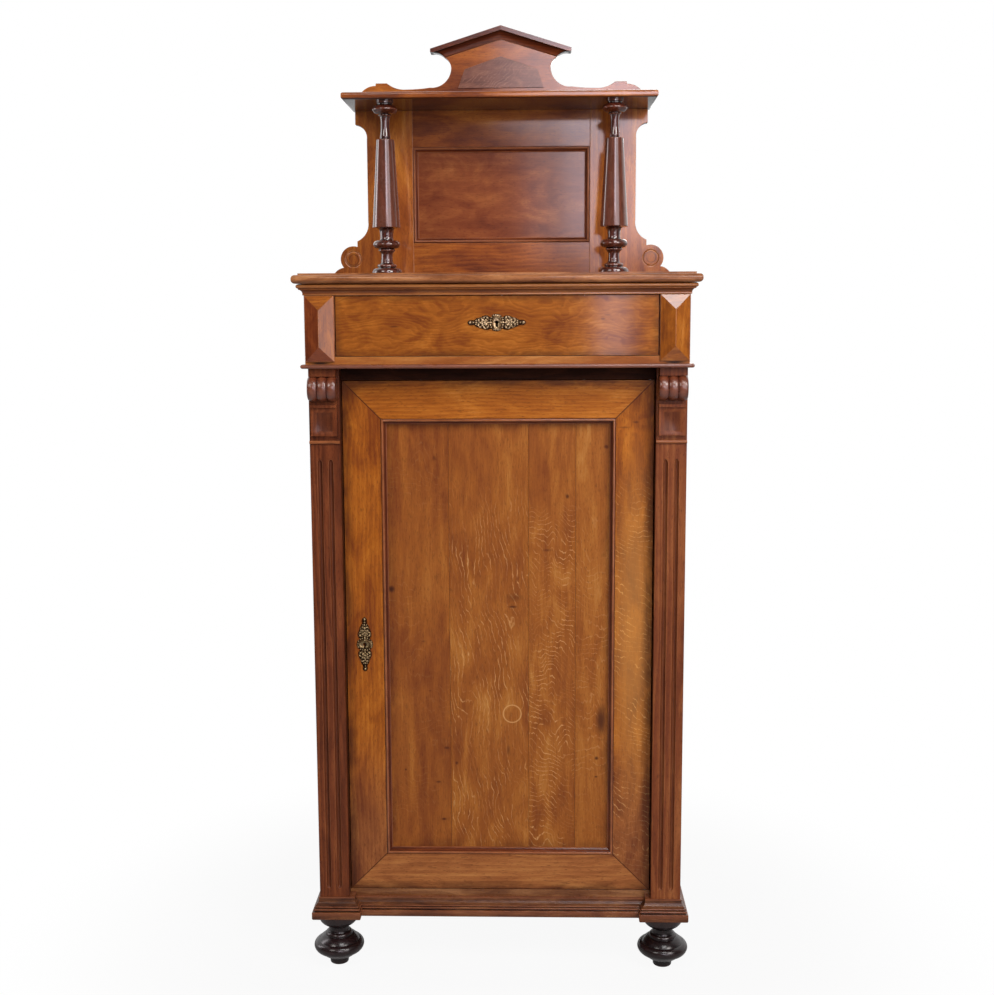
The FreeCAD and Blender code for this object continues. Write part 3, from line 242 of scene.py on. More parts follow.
def carried(section: np.ndarray, path: Sequence[Sequence[float]], up: Sequence[float],
            side: float = 1.0, closed: bool = False, start: float = 0.0) -> Shell:
    """Carry a closed section along straight lengths that meet in mitres.

    Point = corner + reach (n1 + n2) / (1 + n1.n2) + height up, where n1 and n2 are the outward
    normals of the two lengths that meet there.

    Args:
        section: reach and height of each point, solid side on the left.
        path: the corners, in millimetres.
        up: the direction that height is measured in.
        side: 1 or -1, which side of the path reach is measured to.
        closed: whether the path comes back to its first corner.
        start: moves the wood's pattern, so that two runs don't match.

    Returns:
        The closed skin.
    """
    corners, rise = np.array(path, float), np.array(up, float)
    ends = np.roll(corners, -1, axis=0) if closed else corners[1:]
    ways = ends - corners[:len(ends)]
    ways /= np.linalg.norm(ways, axis=1, keepdims=True)
    normals = side * np.cross(ways, rise)
    before = np.roll(normals, 1, axis=0) if closed else np.vstack((normals[:1], normals))
    after = normals if closed else np.vstack((normals, normals[-1:]))
    mitres = (before + after) / (1 + np.sum(before * after, axis=1, keepdims=True))
    ring = np.vstack((section, section[:1]))
    wear = handling(section, closed=True)
    wear = np.append(wear, wear[0])
    rings = corners[:, None] + ring[None, :, :1] * mitres[:, None] + ring[None, :, 1:] * rise
    shell = Shell()
    sheets = []
    for number, way in enumerate(ways):
        pair = rings[[number, (number + 1) % len(corners)]]
        grain = np.empty_like(pair)
        grain[..., 0] = ring[:, 0] + start + 173 * number
        grain[..., 1] = ring[:, 1]
        grain[..., 2] = pair @ way
        sheets.append(shell.sheet(pair, grain, wear))
    if not closed:
        shell.lid(sheets[0][0, :-1])
        shell.lid(sheets[-1][1, :-1])
    return shell


def faced(front: np.ndarray, back: float, grain: np.ndarray | None = None,
          wear: np.ndarray | float = 0.0, rim_shade: float = 0.0) -> Shell:
    """Close a shaped front sheet with straight sides and a flat back.

    Args:
        front: rows by columns of points, the outer edge running round the sheet.
        back: the y place of the flat back.
        grain: the wood's place at each point of the front.
        wear: how far each point of the front stands out, negative in a hollow, which darkens with dust
            and painted shade.
        rim_shade: how far the sides darken towards the back, as a negative wear: painted shade.

    Returns:
        The closed skin.
    """
    shell = Shell()
    wood = front if grain is None else grain
    shell.sheet(front, wood, wear)

    def rim(sheet: np.ndarray) -> np.ndarray:
        """Read a sheet's edge all the way round, back to where it starts."""
        return np.concatenate((sheet[0, :-1], sheet[:-1, -1], sheet[-1, :0:-1], sheet[:0:-1, 0],
                               sheet[:1, 0]))

    edge = rim(front)
    deep = edge.copy()
    deep[:, 1] = back
    middle = (edge + deep) / 2
    numbers = shell.sheet(np.stack((edge, middle, deep)), np.stack((rim(wood),) * 3),
                          wear=np.array((0.2 * rim_shade, 0.7 * rim_shade, rim_shade))[:, None])
    shell.lid(numbers[2, :-1])
    return shell


def plank(low: Sequence[float], high: Sequence[float], along: int, start: float = 0.0,
          slot: int = 0) -> Shell:
    """Make a straight board whose grain runs along one of its three ways.

    The eight corners are every choice of low or high in x, y and z. The wood's place is
    (across, through, along), and through is the board's thinnest way.

    Args:
        low: lowest corner.
        high: highest corner.
        along: 0, 1 or 2 for grain along x, y or z.
        start: moves the wood's pattern from that of the other boards.
        slot: which of its piece's finishes it shows.

    Returns:
        The closed skin.
    """
    ends = np.stack((np.array(low, float), np.array(high, float)))
    thick = np.ptp(ends, axis=0)
    thick[along] = np.inf
    through = int(np.argmin(thick))
    across = 3 - along - through
    bits = np.indices((2, 2, 2)).reshape(3, 8)
    corners = np.stack([ends[bits[way], way] for way in range(3)], -1).reshape(2, 2, 2, 3)
    shell = Shell(slot)
    shift = np.array((start, 0.0, 2.7 * start))
    for way in range(3):
        for end in range(2):
            face = np.take(corners, end, axis=way)
            shell.sheet(face, face[..., [across, through, along]] + shift)
    return shell


class Grain(Enum):
    """Which way a board's grain runs, as the turn that lays it upright."""

    UPRIGHT = (0.0, 0.0, 0.0)
    ACROSS = (0.0, math.radians(90), 0.0)
    DEEP = (math.radians(-90), 0.0, 0.0)


class Edge(Enum):
    """How a softened edge of a board looks."""

    FLAT = 0
    RUBBED = 1
    # an edge darkened nearly to the dark colour: dust, and painted shade in the gap beside it
    GRIMY_AND_SHADED = 2


class Recipe:
    """A node tree while it is laid out: a finish's, or the studio world's."""

    def __init__(self, owner: bpy.types.Material | bpy.types.World) -> None:
        """Start with no nodes in the owner's tree."""
        self.owner = owner
        owner.use_nodes = True
        self.tree = owner.node_tree
        self.tree.nodes.clear()

    def add(self, kind: str, settings: Mapping[Any, Any] | None = None,
            links: Mapping[Any, Any] | None = None, result: int | str = 0) -> Socket:
        """Add one node, give it its settings and join its sockets.

        Args:
            kind: the node's type, without its ShaderNode prefix.
            settings: node properties by name, sockets by name or number, or "stops" of a ramp.
            links: sockets by name or number, and the socket that feeds each.
            result: which output to hand back.

        Returns:
            The chosen output socket.
        """
        node = self.tree.nodes.new("ShaderNode" + kind)
        for key, value in (settings or {}).items():
            if key == "stops":
                ramp = node.color_ramp
                while len(ramp.elements) < len(value):
                    ramp.elements.new(0.5)
                for element, (place, colour) in zip(ramp.elements, value):
                    element.position = place
                    element.color = linear(colour)
            elif isinstance(key, str) and key in node.bl_rna.properties:
                setattr(node, key, value)
            else:
                node.inputs[key].default_value = value
        for key, source in (links or {}).items():
            self.tree.links.new(source, node.inputs[key])
        return node.outputs[result] if len(node.outputs) else None

    def seen(self) -> tuple[Socket, Socket]:
        """Give the masks of what the camera sees straight or through glass, and of reflections."""
        path = self.add("LightPath").node
        straight = self.add("Math", {"operation": "MAXIMUM"}, {
            0: path.outputs["Is Camera Ray"], 1: path.outputs["Is Transmission Ray"]})
        return straight, path.outputs["Is Glossy Ray"]

    def blend(self, factor: Socket, below: Any, above: Any) -> Socket:
        """Lay one colour over another where a mask is 1.

        Args:
            factor: the mask.
            below: a socket, or a hex colour.
            above: a socket, or a hex colour.

        Returns:
            The mixed colour.
        """
        settings: dict[Any, Any] = {"data_type": "RGBA"}
        links: dict[Any, Any] = {0: factor}
        for number, colour in ((6, below), (7, above)):
            if isinstance(colour, str):
                settings[number] = linear(colour)
            else:
                links[number] = colour
        return self.add("Mix", settings, links, 2)


@dataclass(frozen=True)
class Mark:
    """A knot, crack, hole or chip on a board's face, or a painted shadow, highlight or patch of light,
    in the cupboard's millimetres.
    """

    x: float
    z: float
    radius: float
    flat: float = 1.0
    depth: float = 0.8
    swirl: float = 0.0
    pale: bool = False


@dataclass(frozen=True)
class Ring:
    """A round line on a face: the trace of a wet glass, or the painted shade in a carved spiral's
    groove.
    """

    x: float
    z: float
    radius: float
    width: float
    depth: float = 0.6
    wind: float = 0.0
    pale: bool = True


@dataclass(frozen=True)
class Figure:
    """How a board's growth rings, fibres and rays show, in millimetres.

    Rays keep to x above ray_zone[0] and z below ray_zone[1], and fade over ray_fade: left of the
    zone, below its top and above it. The face darkens and dulls from z = sallow[1] down to sallow[0],
    to the saturation and value of sallow_tone: painted shade, as less light reaches the lower part.
    Near the given edges it darkens with dust and old polish, and with painted shade from the parts
    around it. A mitre's dark line is full to mitre_line[0] off the joint and gone at mitre_line[1],
    its strength mitre_line[2].
    """

    ring: float = 7.0
    pith: tuple[float, float] = (35.0, 70.0)
    warp: float = 26.0
    warp_size: tuple[float, float] = (90.0, 320.0)
    cloud_size: tuple[float, float] = (60.0, 190.0)
    rings: float = 0.13
    tones: float = 0.10
    clouds: float = 0.85
    fibres: float = 0.20
    shift: float = 0.0
    rays: float = 0.0
    ray_gap: tuple[float, float] = (60.0, 16.0)
    ray_bend: float = 5.5
    ray_size: tuple[float, float] = (70.0, 120.0)
    ray_width: float = 0.12
    ray_zone: tuple[float, float] | None = None
    ray_fade: tuple[float, float, float] = (40.0, 120.0, 60.0)
    sallow: tuple[float, float] | None = None
    sallow_tone: tuple[float, float] = (0.93, 0.83)
    edges: tuple[float, float, float, float] | None = None
    # darkening near the given edges: dust and painted shade
    dirt_and_shade: float = 0.75
    dirt_and_shade_reach: float = 22.0
    mitre_line: tuple[float, float, float] | None = None
    marks: tuple[Mark, ...] = ()
    round_marks: tuple[Ring, ...] = ()


class Board:
    """One board's wood while it is drawn: its places, and the masks that make up its colour."""

    def __init__(self, recipe: Recipe, look: Figure, place: Sequence[float], grain: Grain | None,
                 seed: float) -> None:
        """Lay the board's own millimetres over the piece.

        Args:
            recipe: the finish being laid out.
            look: the board's figure.
            place: the board's middle in millimetres, which the pattern is centred on.
            grain: which way the grain runs, or None to follow the piece's grain attribute.
            seed: picks the board's own piece of the log.
        """
        self.add, self.look = recipe.add, look
        self.object_place = self.add("TexCoord", result="Object")
        raw = self.object_place if grain else self.add("Attribute", {"attribute_name": "grain"},
                                                       result="Vector")
        self.face = self.add("Mapping", {
            "vector_type": "TEXTURE", "Location": [value * MM for value in place],
            "Rotation": grain.value if grain else (0.0, 0.0, 0.0), "Scale": (MM, MM, MM)},
            {"Vector": raw})
        self.log = self.add("VectorMath", {"operation": "ADD", 1: (seed * 211, seed * 57, seed * 613)},
                            {0: self.face})

    def noise(self, size: tuple[float, float], detail: float, rough: float, push: float) -> Socket:
        """Sample a noise whose grains are size[0] wide and size[1] long, in millimetres."""
        shaped = self.add("VectorMath", {"operation": "MULTIPLY",
                                         1: (1 / size[0], 1 / size[0], 1 / size[1])}, {0: self.log})
        return self.add("TexNoise", {"Scale": 1.0, "Detail": detail, "Roughness": rough,
                                     "Distortion": push}, {"Vector": shaped})

    def plus(self, base: Socket, part: Socket, weight: float) -> Socket:
        """Add base + weight (part - 0.5)."""
        centred = self.add("Math", {"operation": "SUBTRACT", 1: 0.5}, {0: part})
        return self.add("Math", {"operation": "MULTIPLY_ADD", 1: weight}, {0: centred, 2: base})

    def step(self, value: Socket, low: float, high: float, start: float = 0.0, end: float = 1.0,
             smooth: bool = True) -> Socket:
        """Lead a value from start at low to end at high."""
        return self.add("MapRange", {
            "interpolation_type": "SMOOTHSTEP" if smooth else "LINEAR", "From Min": low,
            "From Max": high, "To Min": start, "To Max": end}, {"Value": value})

    def times(self, one: Socket, two: Socket) -> Socket:
        """Multiply two masks."""
        return self.add("Math", {"operation": "MULTIPLY"}, {0: one, 1: two})

    def growth(self, swirl: Socket | None) -> Socket:
        """Give the place on the finish's ramp: growth rings round a bent pith, clouds and fibres.

        Ring number = (distance to the pith + warp noise + swirl) / ring width; inside a ring the
        tone climbs to its late wood and drops back over the last seventh.

        Args:
            swirl: how far knots bend the rings, or None.

        Returns:
            The tone from 0 to 1, and the fibres' noise is kept for the relief.
        """
        look = self.look
        pith = self.add("VectorMath", {"operation": "MULTIPLY_ADD", 1: (1, 1, 0.0),
                                       2: (-look.pith[0], -look.pith[1], 0)}, {0: self.face})
        away = self.add("VectorMath", {"operation": "LENGTH"}, {0: pith}, "Value")
        bent = self.plus(away, self.noise(look.warp_size, 3.0, 0.45, 0.25), look.warp * 2)
        if swirl is not None:
            bent = self.add("Math", {"operation": "ADD"}, {0: bent, 1: swirl})
        count = self.add("Math", {"operation": "DIVIDE", 1: look.ring}, {0: bent})
        share = self.add("Math", {"operation": "FRACT"}, {0: count})
        late = self.times(self.step(share, 0.0, 0.72), self.step(share, 0.86, 1.0, 1.0, 0.0))
        year = self.add("Math", {"operation": "FLOOR"}, {0: count})
        tone = self.add("TexWhiteNoise", {"noise_dimensions": "1D"}, {"W": year})
        self.fibre = self.noise((1.9, 34.0), 3.0, 0.62, 0.0)
        cloud = self.step(self.noise(look.cloud_size, 7.0, 0.6, 0.7), 0.0, 1.0,
                          0.5 - look.clouds * 0.8 + look.shift, 0.5 + look.clouds * 0.8 + look.shift,
                          smooth=False)
        shade = self.plus(cloud, late, -look.rings)
        shade = self.plus(shade, tone, look.tones * 0.5)
        return self.plus(shade, self.fibre, look.fibres * 1.8)

    def rays(self) -> Socket:
        """Draw rays: lines of equal height on a slope of 1 / gap that two noises bend, broken up.

        Returns:
            The rays' mask.
        """
        look = self.look
        slope = self.add("VectorMath", {"operation": "DOT_PRODUCT", 1: (
            1 / look.ray_gap[0], 0, 1 / look.ray_gap[1])}, {0: self.face}, "Value")
        slope = self.plus(slope, self.noise(look.ray_size, 1.0, 0.4, 0.4), look.ray_bend * 2)
        slope = self.plus(slope, self.noise((13.0, 30.0), 2.0, 0.6, 0.0), 1.5)
        part = self.add("Math", {"operation": "FRACT"}, {0: slope})
        middle = self.add("Math", {"operation": "SUBTRACT", 1: 0.5}, {0: part})
        near = self.add("Math", {"operation": "ABSOLUTE"}, {0: middle})
        line = self.step(near, 0.0, look.ray_width, 1.0, 0.0)
        broken = self.step(self.noise((7.0, 22.0), 3.0, 0.65, 0.3), 0.38, 0.56)
        region = self.step(self.noise((46.0, 95.0), 1.0, 0.5, 0.3), 0.42, 0.60, 0.2 * look.rays,
                           look.rays)
        if look.ray_zone is not None:
            left, top = look.ray_zone
            aside, below, above = look.ray_fade
            x, z = (self.add("SeparateXYZ", None, {0: self.object_place}, axis) for axis in "XZ")
            region = self.times(region, self.step(x, (left - aside) * MM, left * MM))
            region = self.times(region, self.step(z, (top - below) * MM, (top + above) * MM, 1, 0))
        return self.times(line, self.times(broken, region))

    def pores(self, depth: float) -> Socket:
        """Draw the open pores as short dark dashes.

        Real pores are 0.3 mm wide; these are drawn four times as wide so that they show.

        Args:
            depth: how dark the darkest one is, from 0 to 1.

        Returns:
            The pores' mask.
        """
        return self.step(self.noise((1.2, 9.0), 2.0, 0.55, 0.0), 0.55, 0.70, 0.0, depth)

    def dirt_and_shade(self) -> Socket:
        """Darken a board near its outline: dust and old polish where a cloth doesn't reach, and painted
        shade from the parts around it.

        The mask falls smoothly with min(half width - |x - middle|, half height - |z - middle|),
        and clouds of about 30 mm break it up. On a mitred frame the joints are dark too, where the
        two distances hardly differ.

        Returns:
            The mask of dust and painted shade.
        """
        low_x, low_z, high_x, high_z = self.look.edges
        off = self.add("VectorMath", {"operation": "MULTIPLY_ADD", 1: (1 / MM, 0, 1 / MM), 2: (
            -(low_x + high_x) / 2, 0, -(low_z + high_z) / 2)}, {0: self.object_place})
        off = self.add("VectorMath", {"operation": "ABSOLUTE"}, {0: off})
        room = self.add("VectorMath", {"operation": "SUBTRACT", 0: (
            (high_x - low_x) / 2, 0, (high_z - low_z) / 2)}, {1: off})
        parts = self.add("SeparateXYZ", None, {0: room}).node
        near = self.add("Math", {"operation": "MINIMUM"}, {0: parts.outputs[0], 1: parts.outputs[2]})
        cloud = self.step(self.noise((26.0, 60.0), 3.0, 0.6, 0.4), 0.3, 0.65, 0.25, 1.0)
        dirt_and_shade = self.times(self.step(near, 0.0, self.look.dirt_and_shade_reach, self.look.dirt_and_shade, 0.0), cloud)
        if self.look.mitre_line is None:
            return dirt_and_shade
        full, gone, depth = self.look.mitre_line
        apart = self.add("Math", {"operation": "SUBTRACT"}, {0: parts.outputs[0], 1: parts.outputs[2]})
        apart = self.add("Math", {"operation": "ABSOLUTE"}, {0: apart})
        return self.larger(dirt_and_shade, self.step(apart, full, gone, depth, 0.0))

    def larger(self, one: Socket | None, two: Socket) -> Socket:
        """Give the larger of two masks, the first of which may be missing."""
        return two if one is None else self.add("Math", {"operation": "MAXIMUM"}, {0: one, 1: two})

    def marks(self) -> tuple[Socket | None, ...]:
        """Work out where knots, chips and round lines bend the rings, darken or lighten the face.

        A mark's mask falls smoothly from its middle to its radius, which is flattened along z. A
        round line's mask falls over its width from radius + wind (turn / full turn).

        Returns:
            The rings' bend in millimetres, the dark mask and the pale mask, None where unmarked.
        """
        add, swirl, dark, pale = self.add, None, None, None
        for mark in self.look.marks:
            away = add("VectorMath", {
                "operation": "MULTIPLY_ADD", 1: (1 / mark.radius / MM, 0, mark.flat / mark.radius / MM),
                2: (-mark.x / mark.radius, 0, -mark.z * mark.flat / mark.radius)},
                {0: self.object_place})
            length = add("VectorMath", {"operation": "LENGTH"}, {0: away}, "Value")
            mask = self.step(length, 0.15, 1.0, mark.depth, 0.0)
            if mark.pale:
                pale = self.larger(pale, mask)
            else:
                dark = self.larger(dark, mask)
            if mark.swirl:
                bend = self.step(length, 0.0, 7.0, mark.swirl, 0.0)
                swirl = bend if swirl is None else add("Math", {"operation": "ADD"},
                                                       {0: swirl, 1: bend})
        for ring in self.look.round_marks:
            away = add("VectorMath", {"operation": "MULTIPLY_ADD", 1: (1 / MM, 0, 1 / MM),
                                      2: (-ring.x, 0, -ring.z)}, {0: self.object_place})
            length = add("VectorMath", {"operation": "LENGTH"}, {0: away}, "Value")
            if ring.wind:
                parts = add("SeparateXYZ", None, {0: away}).node
                turn = add("Math", {"operation": "ARCTAN2"}, {0: parts.outputs[2],
                                                              1: parts.outputs[0]})
                length = add("Math", {"operation": "MULTIPLY_ADD", 1: -ring.wind / (2 * math.pi)},
                             {0: turn, 2: length})
            off = add("Math", {"operation": "SUBTRACT", 1: ring.radius}, {0: length})
            mask = self.step(add("Math", {"operation": "ABSOLUTE"}, {0: off}), 0.2 * ring.width,
                             ring.width, ring.depth, 0.0)
            if ring.pale:
                pale = self.larger(pale, mask)
            else:
                dark = self.larger(dark, mask)
        return swirl, dark, pale


@dataclass(frozen=True)
class Wood:
    """Open-grained hardwood, planed, stained and shellacked by hand.

    Oak shows broad bands where it was flat sawn, short dark pores along its fibres and, where the
    saw ran towards the heart, pale rays. Shellac leaves a soft shine over slightly uneven pores.
    """

    name: str
    stops: Stops
    pore: str
    ray: str
    worn: str
    # the dark colour of dust and of painted shade: near edges, in hollows and gaps, and on undersides
    grime_and_shade: str
    roughness: float = 0.42
    specular: float = 0.12
    coat: float = 0.15
    coat_roughness: float = 0.20
    coat_ior: float = 1.5
    pore_depth: float = 0.50
    bump: float = 0.10
    worn_share: float = 0.55
    # how far hollows darken: dust and painted shade
    hollow_grime_and_shade: float = 0.75
    # how far faces turned down darken towards the dark colour: painted shade on undersides
    under: float = 0.0
    figure: Figure = Figure()

    def lay(self, label: str, seed: float, figure: Figure | None = None, edge: Edge = Edge.FLAT,
            place: Sequence[float] = (0, 0, 0), grain: Grain | None = None) -> bpy.types.Material:
        """Lay the finish out for one board.

        Args:
            label: the board's name.
            seed: picks the board's own piece of the log.
            figure: how this board's figure differs from the finish's own.
            edge: whether this is the version for a softened edge, rubbed, or grimy with painted shade.
            place: the board's middle in millimetres, which the pattern is centred on.
            grain: which way the grain runs, or None to follow the piece's own grain attribute.

        Returns:
            The material.
        """
        recipe = Recipe(bpy.data.materials.new(
            f"{self.name}_{label}" + ("_edge" if edge is not Edge.FLAT else "")))
        board = Board(recipe, figure or self.figure, place, grain, seed)
        swirl, dark, pale = board.marks()
        colour = recipe.add("ValToRGB", {"stops": self.stops}, {"Fac": board.growth(swirl)})
        if board.look.rays > 0:
            colour = recipe.blend(board.rays(), colour, self.ray)
        pores = board.pores(self.pore_depth)
        colour = recipe.blend(pores, colour, self.pore)
        if dark is not None:
            colour = recipe.blend(dark, colour, self.pore)
        if pale is not None:
            colour = recipe.blend(pale, colour, self.ray)
        if board.look.sallow is not None:
            z = recipe.add("SeparateXYZ", None, {0: board.object_place}, "Z")
            low, high = (level * MM for level in board.look.sallow)
            saturation, value = board.look.sallow_tone
            colour = recipe.add("HueSaturation", None, {
                "Color": colour, "Saturation": board.step(z, low, high, saturation, 1),
                "Value": board.step(z, low, high, value, 1)})
        colour = self.age(recipe, board, colour, grain is None, edge)
        rough = board.step(board.noise((22.0, 45.0), 3.0, 0.6, 0.2), 0.3, 0.7,
                           self.roughness - 0.07, self.roughness + 0.09, smooth=False)
        relief = recipe.add("Math", {"operation": "MULTIPLY_ADD", 1: -1.0},
                            {0: pores, 2: board.fibre})
        bump = recipe.add("Bump", {"Strength": self.bump, "Distance": 0.0005}, {"Height": relief})
        shader = recipe.add("BsdfPrincipled", {
            "Specular IOR Level": self.specular, "Coat Weight": self.coat,
            "Coat Roughness": self.coat_roughness, "Coat IOR": self.coat_ior},
            {"Base Color": colour, "Roughness": rough, "Normal": bump})
        recipe.add("OutputMaterial", None, {"Surface": shader})
        return recipe.owner

    def age(self, recipe: Recipe, board: Board, colour: Socket, shaped: bool, edge: Edge) -> Socket:
        """Rub the wood pale where hands reach it, and darken it with dust and with painted shade near
        its edges, in hollows and gaps, and on its undersides.

        Args:
            recipe: the finish being laid out.
            board: the board's places.
            colour: the wood's colour so far.
            shaped: whether the piece carries its own wear attribute.
            edge: whether this is a softened edge's version.

        Returns:
            The aged colour.
        """
        rub = board.noise((14.0, 30.0), 3.0, 0.6, 0.4)
        # near the outline: dust and painted shade
        if board.look.edges:
            colour = recipe.blend(board.dirt_and_shade(), colour, self.grime_and_shade)
        # grimy edges: dust, and painted shade in the gaps between parts
        if edge is Edge.GRIMY_AND_SHADED:
            colour = recipe.blend(board.step(rub, 0.3, 0.6, 0.98, 0.75), colour, self.grime_and_shade)
        elif edge is Edge.RUBBED:
            colour = recipe.blend(board.step(rub, 0.35, 0.65, 0.1, self.worn_share), colour, self.worn)
        elif shaped:
            wear = recipe.add("Attribute", {"attribute_name": "wear"}, result="Fac")
            crest = board.times(board.step(wear, 0.12, 0.9),
                                board.step(rub, 0.35, 0.6, 0.35, self.worn_share))
            colour = recipe.blend(crest, colour, self.worn)
            # hollows darken: dust and painted shade
            colour = recipe.blend(board.step(wear, -0.9, -0.08, self.hollow_grime_and_shade, 0.0), colour,
                                  self.grime_and_shade)
        # faces turned down darken: painted shade on undersides
        if self.under > 0:
            facing = recipe.add("NewGeometry", result="Normal")
            down = recipe.add("SeparateXYZ", None, {0: facing}, "Z")
            colour = recipe.blend(board.step(down, -0.9, -0.4, self.under, 0.0), colour, self.grime_and_shade)
        return colour


@dataclass(frozen=True)
class AgedMetal:
    """Metal cast or forged, browned in its hollows and rubbed bright where hands touch it."""

    name: str
    hollow: str
    body: str
    crest: str
    roughness: float

    def lay(self, label: str) -> bpy.types.Material:
        """Lay the finish out for one piece.

        Args:
            label: the piece's name.

        Returns:
            The material.
        """
        recipe = Recipe(bpy.data.materials.new(f"{self.name}_{label}"))
        add = recipe.add
        place = add("TexCoord", result="Object")
        # tarnish lies in spots of about 3 mm, with pitting of about 0.7 mm in them
        spots = add("TexNoise", {"Scale": 330.0, "Detail": 4.0, "Roughness": 0.65}, {"Vector": place})
        pits = add("TexNoise", {"Scale": 1400.0, "Detail": 2.0, "Roughness": 0.6}, {"Vector": place})
        wear = add("Attribute", {"attribute_name": "wear"}, result="Fac")
        level = add("Math", {"operation": "MULTIPLY_ADD", 1: 0.5, 2: 0.12}, {0: wear})
        level = add("Math", {"operation": "ADD"}, {0: level, 1: add(
            "Math", {"operation": "MULTIPLY", 1: 0.75}, {0: spots})})
        colour = add("ValToRGB", {"stops": ((0.22, self.hollow), (0.50, self.body),
                                            (0.86, self.crest))}, {"Fac": level})
        rough = add("MapRange", {"From Min": 0.3, "From Max": 0.7, "To Min": self.roughness + 0.16,
                                 "To Max": self.roughness - 0.06}, {"Value": spots})
        bump = add("Bump", {"Strength": 0.25, "Distance": 0.0003}, {"Height": pits})
        shader = add("BsdfPrincipled", {"Metallic": 1.0},
                     {"Base Color": colour, "Roughness": rough, "Normal": bump})
        add("OutputMaterial", None, {"Surface": shader})
        return recipe.owner


# Honey-coloured oak under clear shellac: the door's mitred frame.
GOLDEN = Wood(
    "golden_oak",
    stops=((0.12, "5c290b"), (0.34, "7b3d0f"), (0.52, "935012"), (0.70, "a8621b"), (0.92, "be7a2e")),
    pore="4a220c", ray="cf9a55", worn="c98f55", grime_and_shade="3a1a0b",
    # undersides darkened: painted shade
    under=0.85, figure=Figure(ring=8.0, pith=(30.0, 60.0), warp=22.0, clouds=0.75))

# Flat-sawn oak with a lively figure: the side panels and the drawer section's floor.
FIGURED = Wood(
    "figured_oak",
    stops=((0.12, "6d3413"), (0.34, "85491d"), (0.52, "935626"), (0.70, "a2662f"), (0.92, "b67c42")),
    pore="43200d", ray="c6955a", worn="bd8450", grime_and_shade="35180c",
    # undersides darkened: painted shade
    under=0.8, figure=Figure(ring=9.0, clouds=0.85, rays=0.3))

# Oak stained red brown under shellac: pilasters, corbels, posts and framed sides.
REDDENED = Wood(
    "red_stained_oak",
    stops=((0.12, "3e190b"), (0.34, "5a2b14"), (0.52, "6d371c"), (0.70, "7e4624"), (0.92, "965d34")),
    pore="2a100a", ray="8f5b3c", worn="a8714f", grime_and_shade="220e0a",
    figure=Figure(ring=7.0, rings=0.16, clouds=0.6, warp=14.0))

# Mouldings stained nearly as dark as rosewood, their edges rubbed back to the wood.
DARK = Wood(
    "dark_moulding",
    stops=((0.12, "38150b"), (0.36, "542411"), (0.54, "6c3319"), (0.72, "844522"), (0.92, "9c5c2e")),
    pore="240e08", ray="8f5b3c", worn="a06238", grime_and_shade="1f0c08", roughness=0.38, specular=0.08,
    coat=0.35, worn_share=0.6, figure=Figure(ring=5.0, rings=0.14, clouds=0.7, warp=10.0))

# Close-grained hardwood, stained and French polished on the lathe: the gallery's columns.
TURNED = Wood(
    "turned_hardwood",
    stops=((0.12, "210b06"), (0.36, "32120a"), (0.54, "43190e"), (0.72, "552315"), (0.92, "6e3522")),
    pore="120705", ray="6a3824", worn="7d4a36", grime_and_shade="0d0605", roughness=0.25, specular=0.25,
    coat=1.0, coat_roughness=0.05, coat_ior=1.64, pore_depth=0.25, bump=0.0,
    figure=Figure(ring=5.0, pith=(9.0, 4.0), rings=0.25, clouds=0.5, warp=5.0))

# The same hardwood on the feet, where the polish has gone nearly black.
BLACKENED = Wood(
    "blackened_hardwood",
    stops=((0.12, "0b0506"), (0.36, "12090a"), (0.54, "1a0e0e"), (0.72, "251516"), (0.92, "382424")),
    pore="080404", ray="3b2828", worn="4c3632", grime_and_shade="060303", roughness=0.34, specular=0.12,
    coat=0.7, coat_roughness=0.20, pore_depth=0.25, bump=0.0,
    figure=Figure(ring=5.0, pith=(9.0, 4.0), rings=0.2, clouds=0.5, warp=5.0))

# Unstained softwood of the hidden parts: yellow, with strong brown winter rings.
PINE = Wood(
    "pine",
    stops=((0.12, "9a6a38"), (0.36, "b98a52"), (0.54, "c99c63"), (0.72, "d5ac74"), (0.92, "dfbd8a")),
    pore="8a5628", ray="dfbd8a", worn="dfc294", grime_and_shade="6f4a28", roughness=0.62, specular=0.25,
    coat=0.0, pore_depth=0.12,
    figure=Figure(ring=6.0, rings=0.55, clouds=0.5, warp=12.0, fibres=0.15))

# The same red oak where carving and beads were polished: the corbels' scrolls, the bead.
POLISHED_RED = Wood(
    "polished_red_oak",
    stops=((0.12, "34120a"), (0.34, "4a1f10"), (0.52, "5c2a18"), (0.70, "6e3821"), (0.92, "87502f")),
    pore="2a100a", ray="8f5b3c", worn="8a5034", grime_and_shade="180906", roughness=0.30, specular=0.25,
    coat=1.0, coat_roughness=0.27, bump=0.04, figure=Figure(ring=6.0, rings=0.08, clouds=0.6))

# Painted shade: the head rail under the overhang is coloured nearly black for the shadow that falls on
# it.
SHADED = Wood(
    "shaded_red_oak",
    stops=((0.12, "1c0c07"), (0.36, "29130a"), (0.54, "351a0e"), (0.72, "442413"), (0.92, "55311c")),
    pore="0d0504", ray="31190f", worn="3a2014", grime_and_shade="0d0504", roughness=0.6, specular=0.05,
    coat=0.0)

# Cast brass that has browned over a century.
BRASS = AgedMetal("aged_brass", hollow="2a1b11", body="5c4731", crest="b59c7a", roughness=0.30)

# Forged steel of the locks and pivots, oiled and grey.
STEEL = AgedMetal("steel", hollow="2e2c2a", body="6f6c68", crest="a8a49e", roughness=0.38)


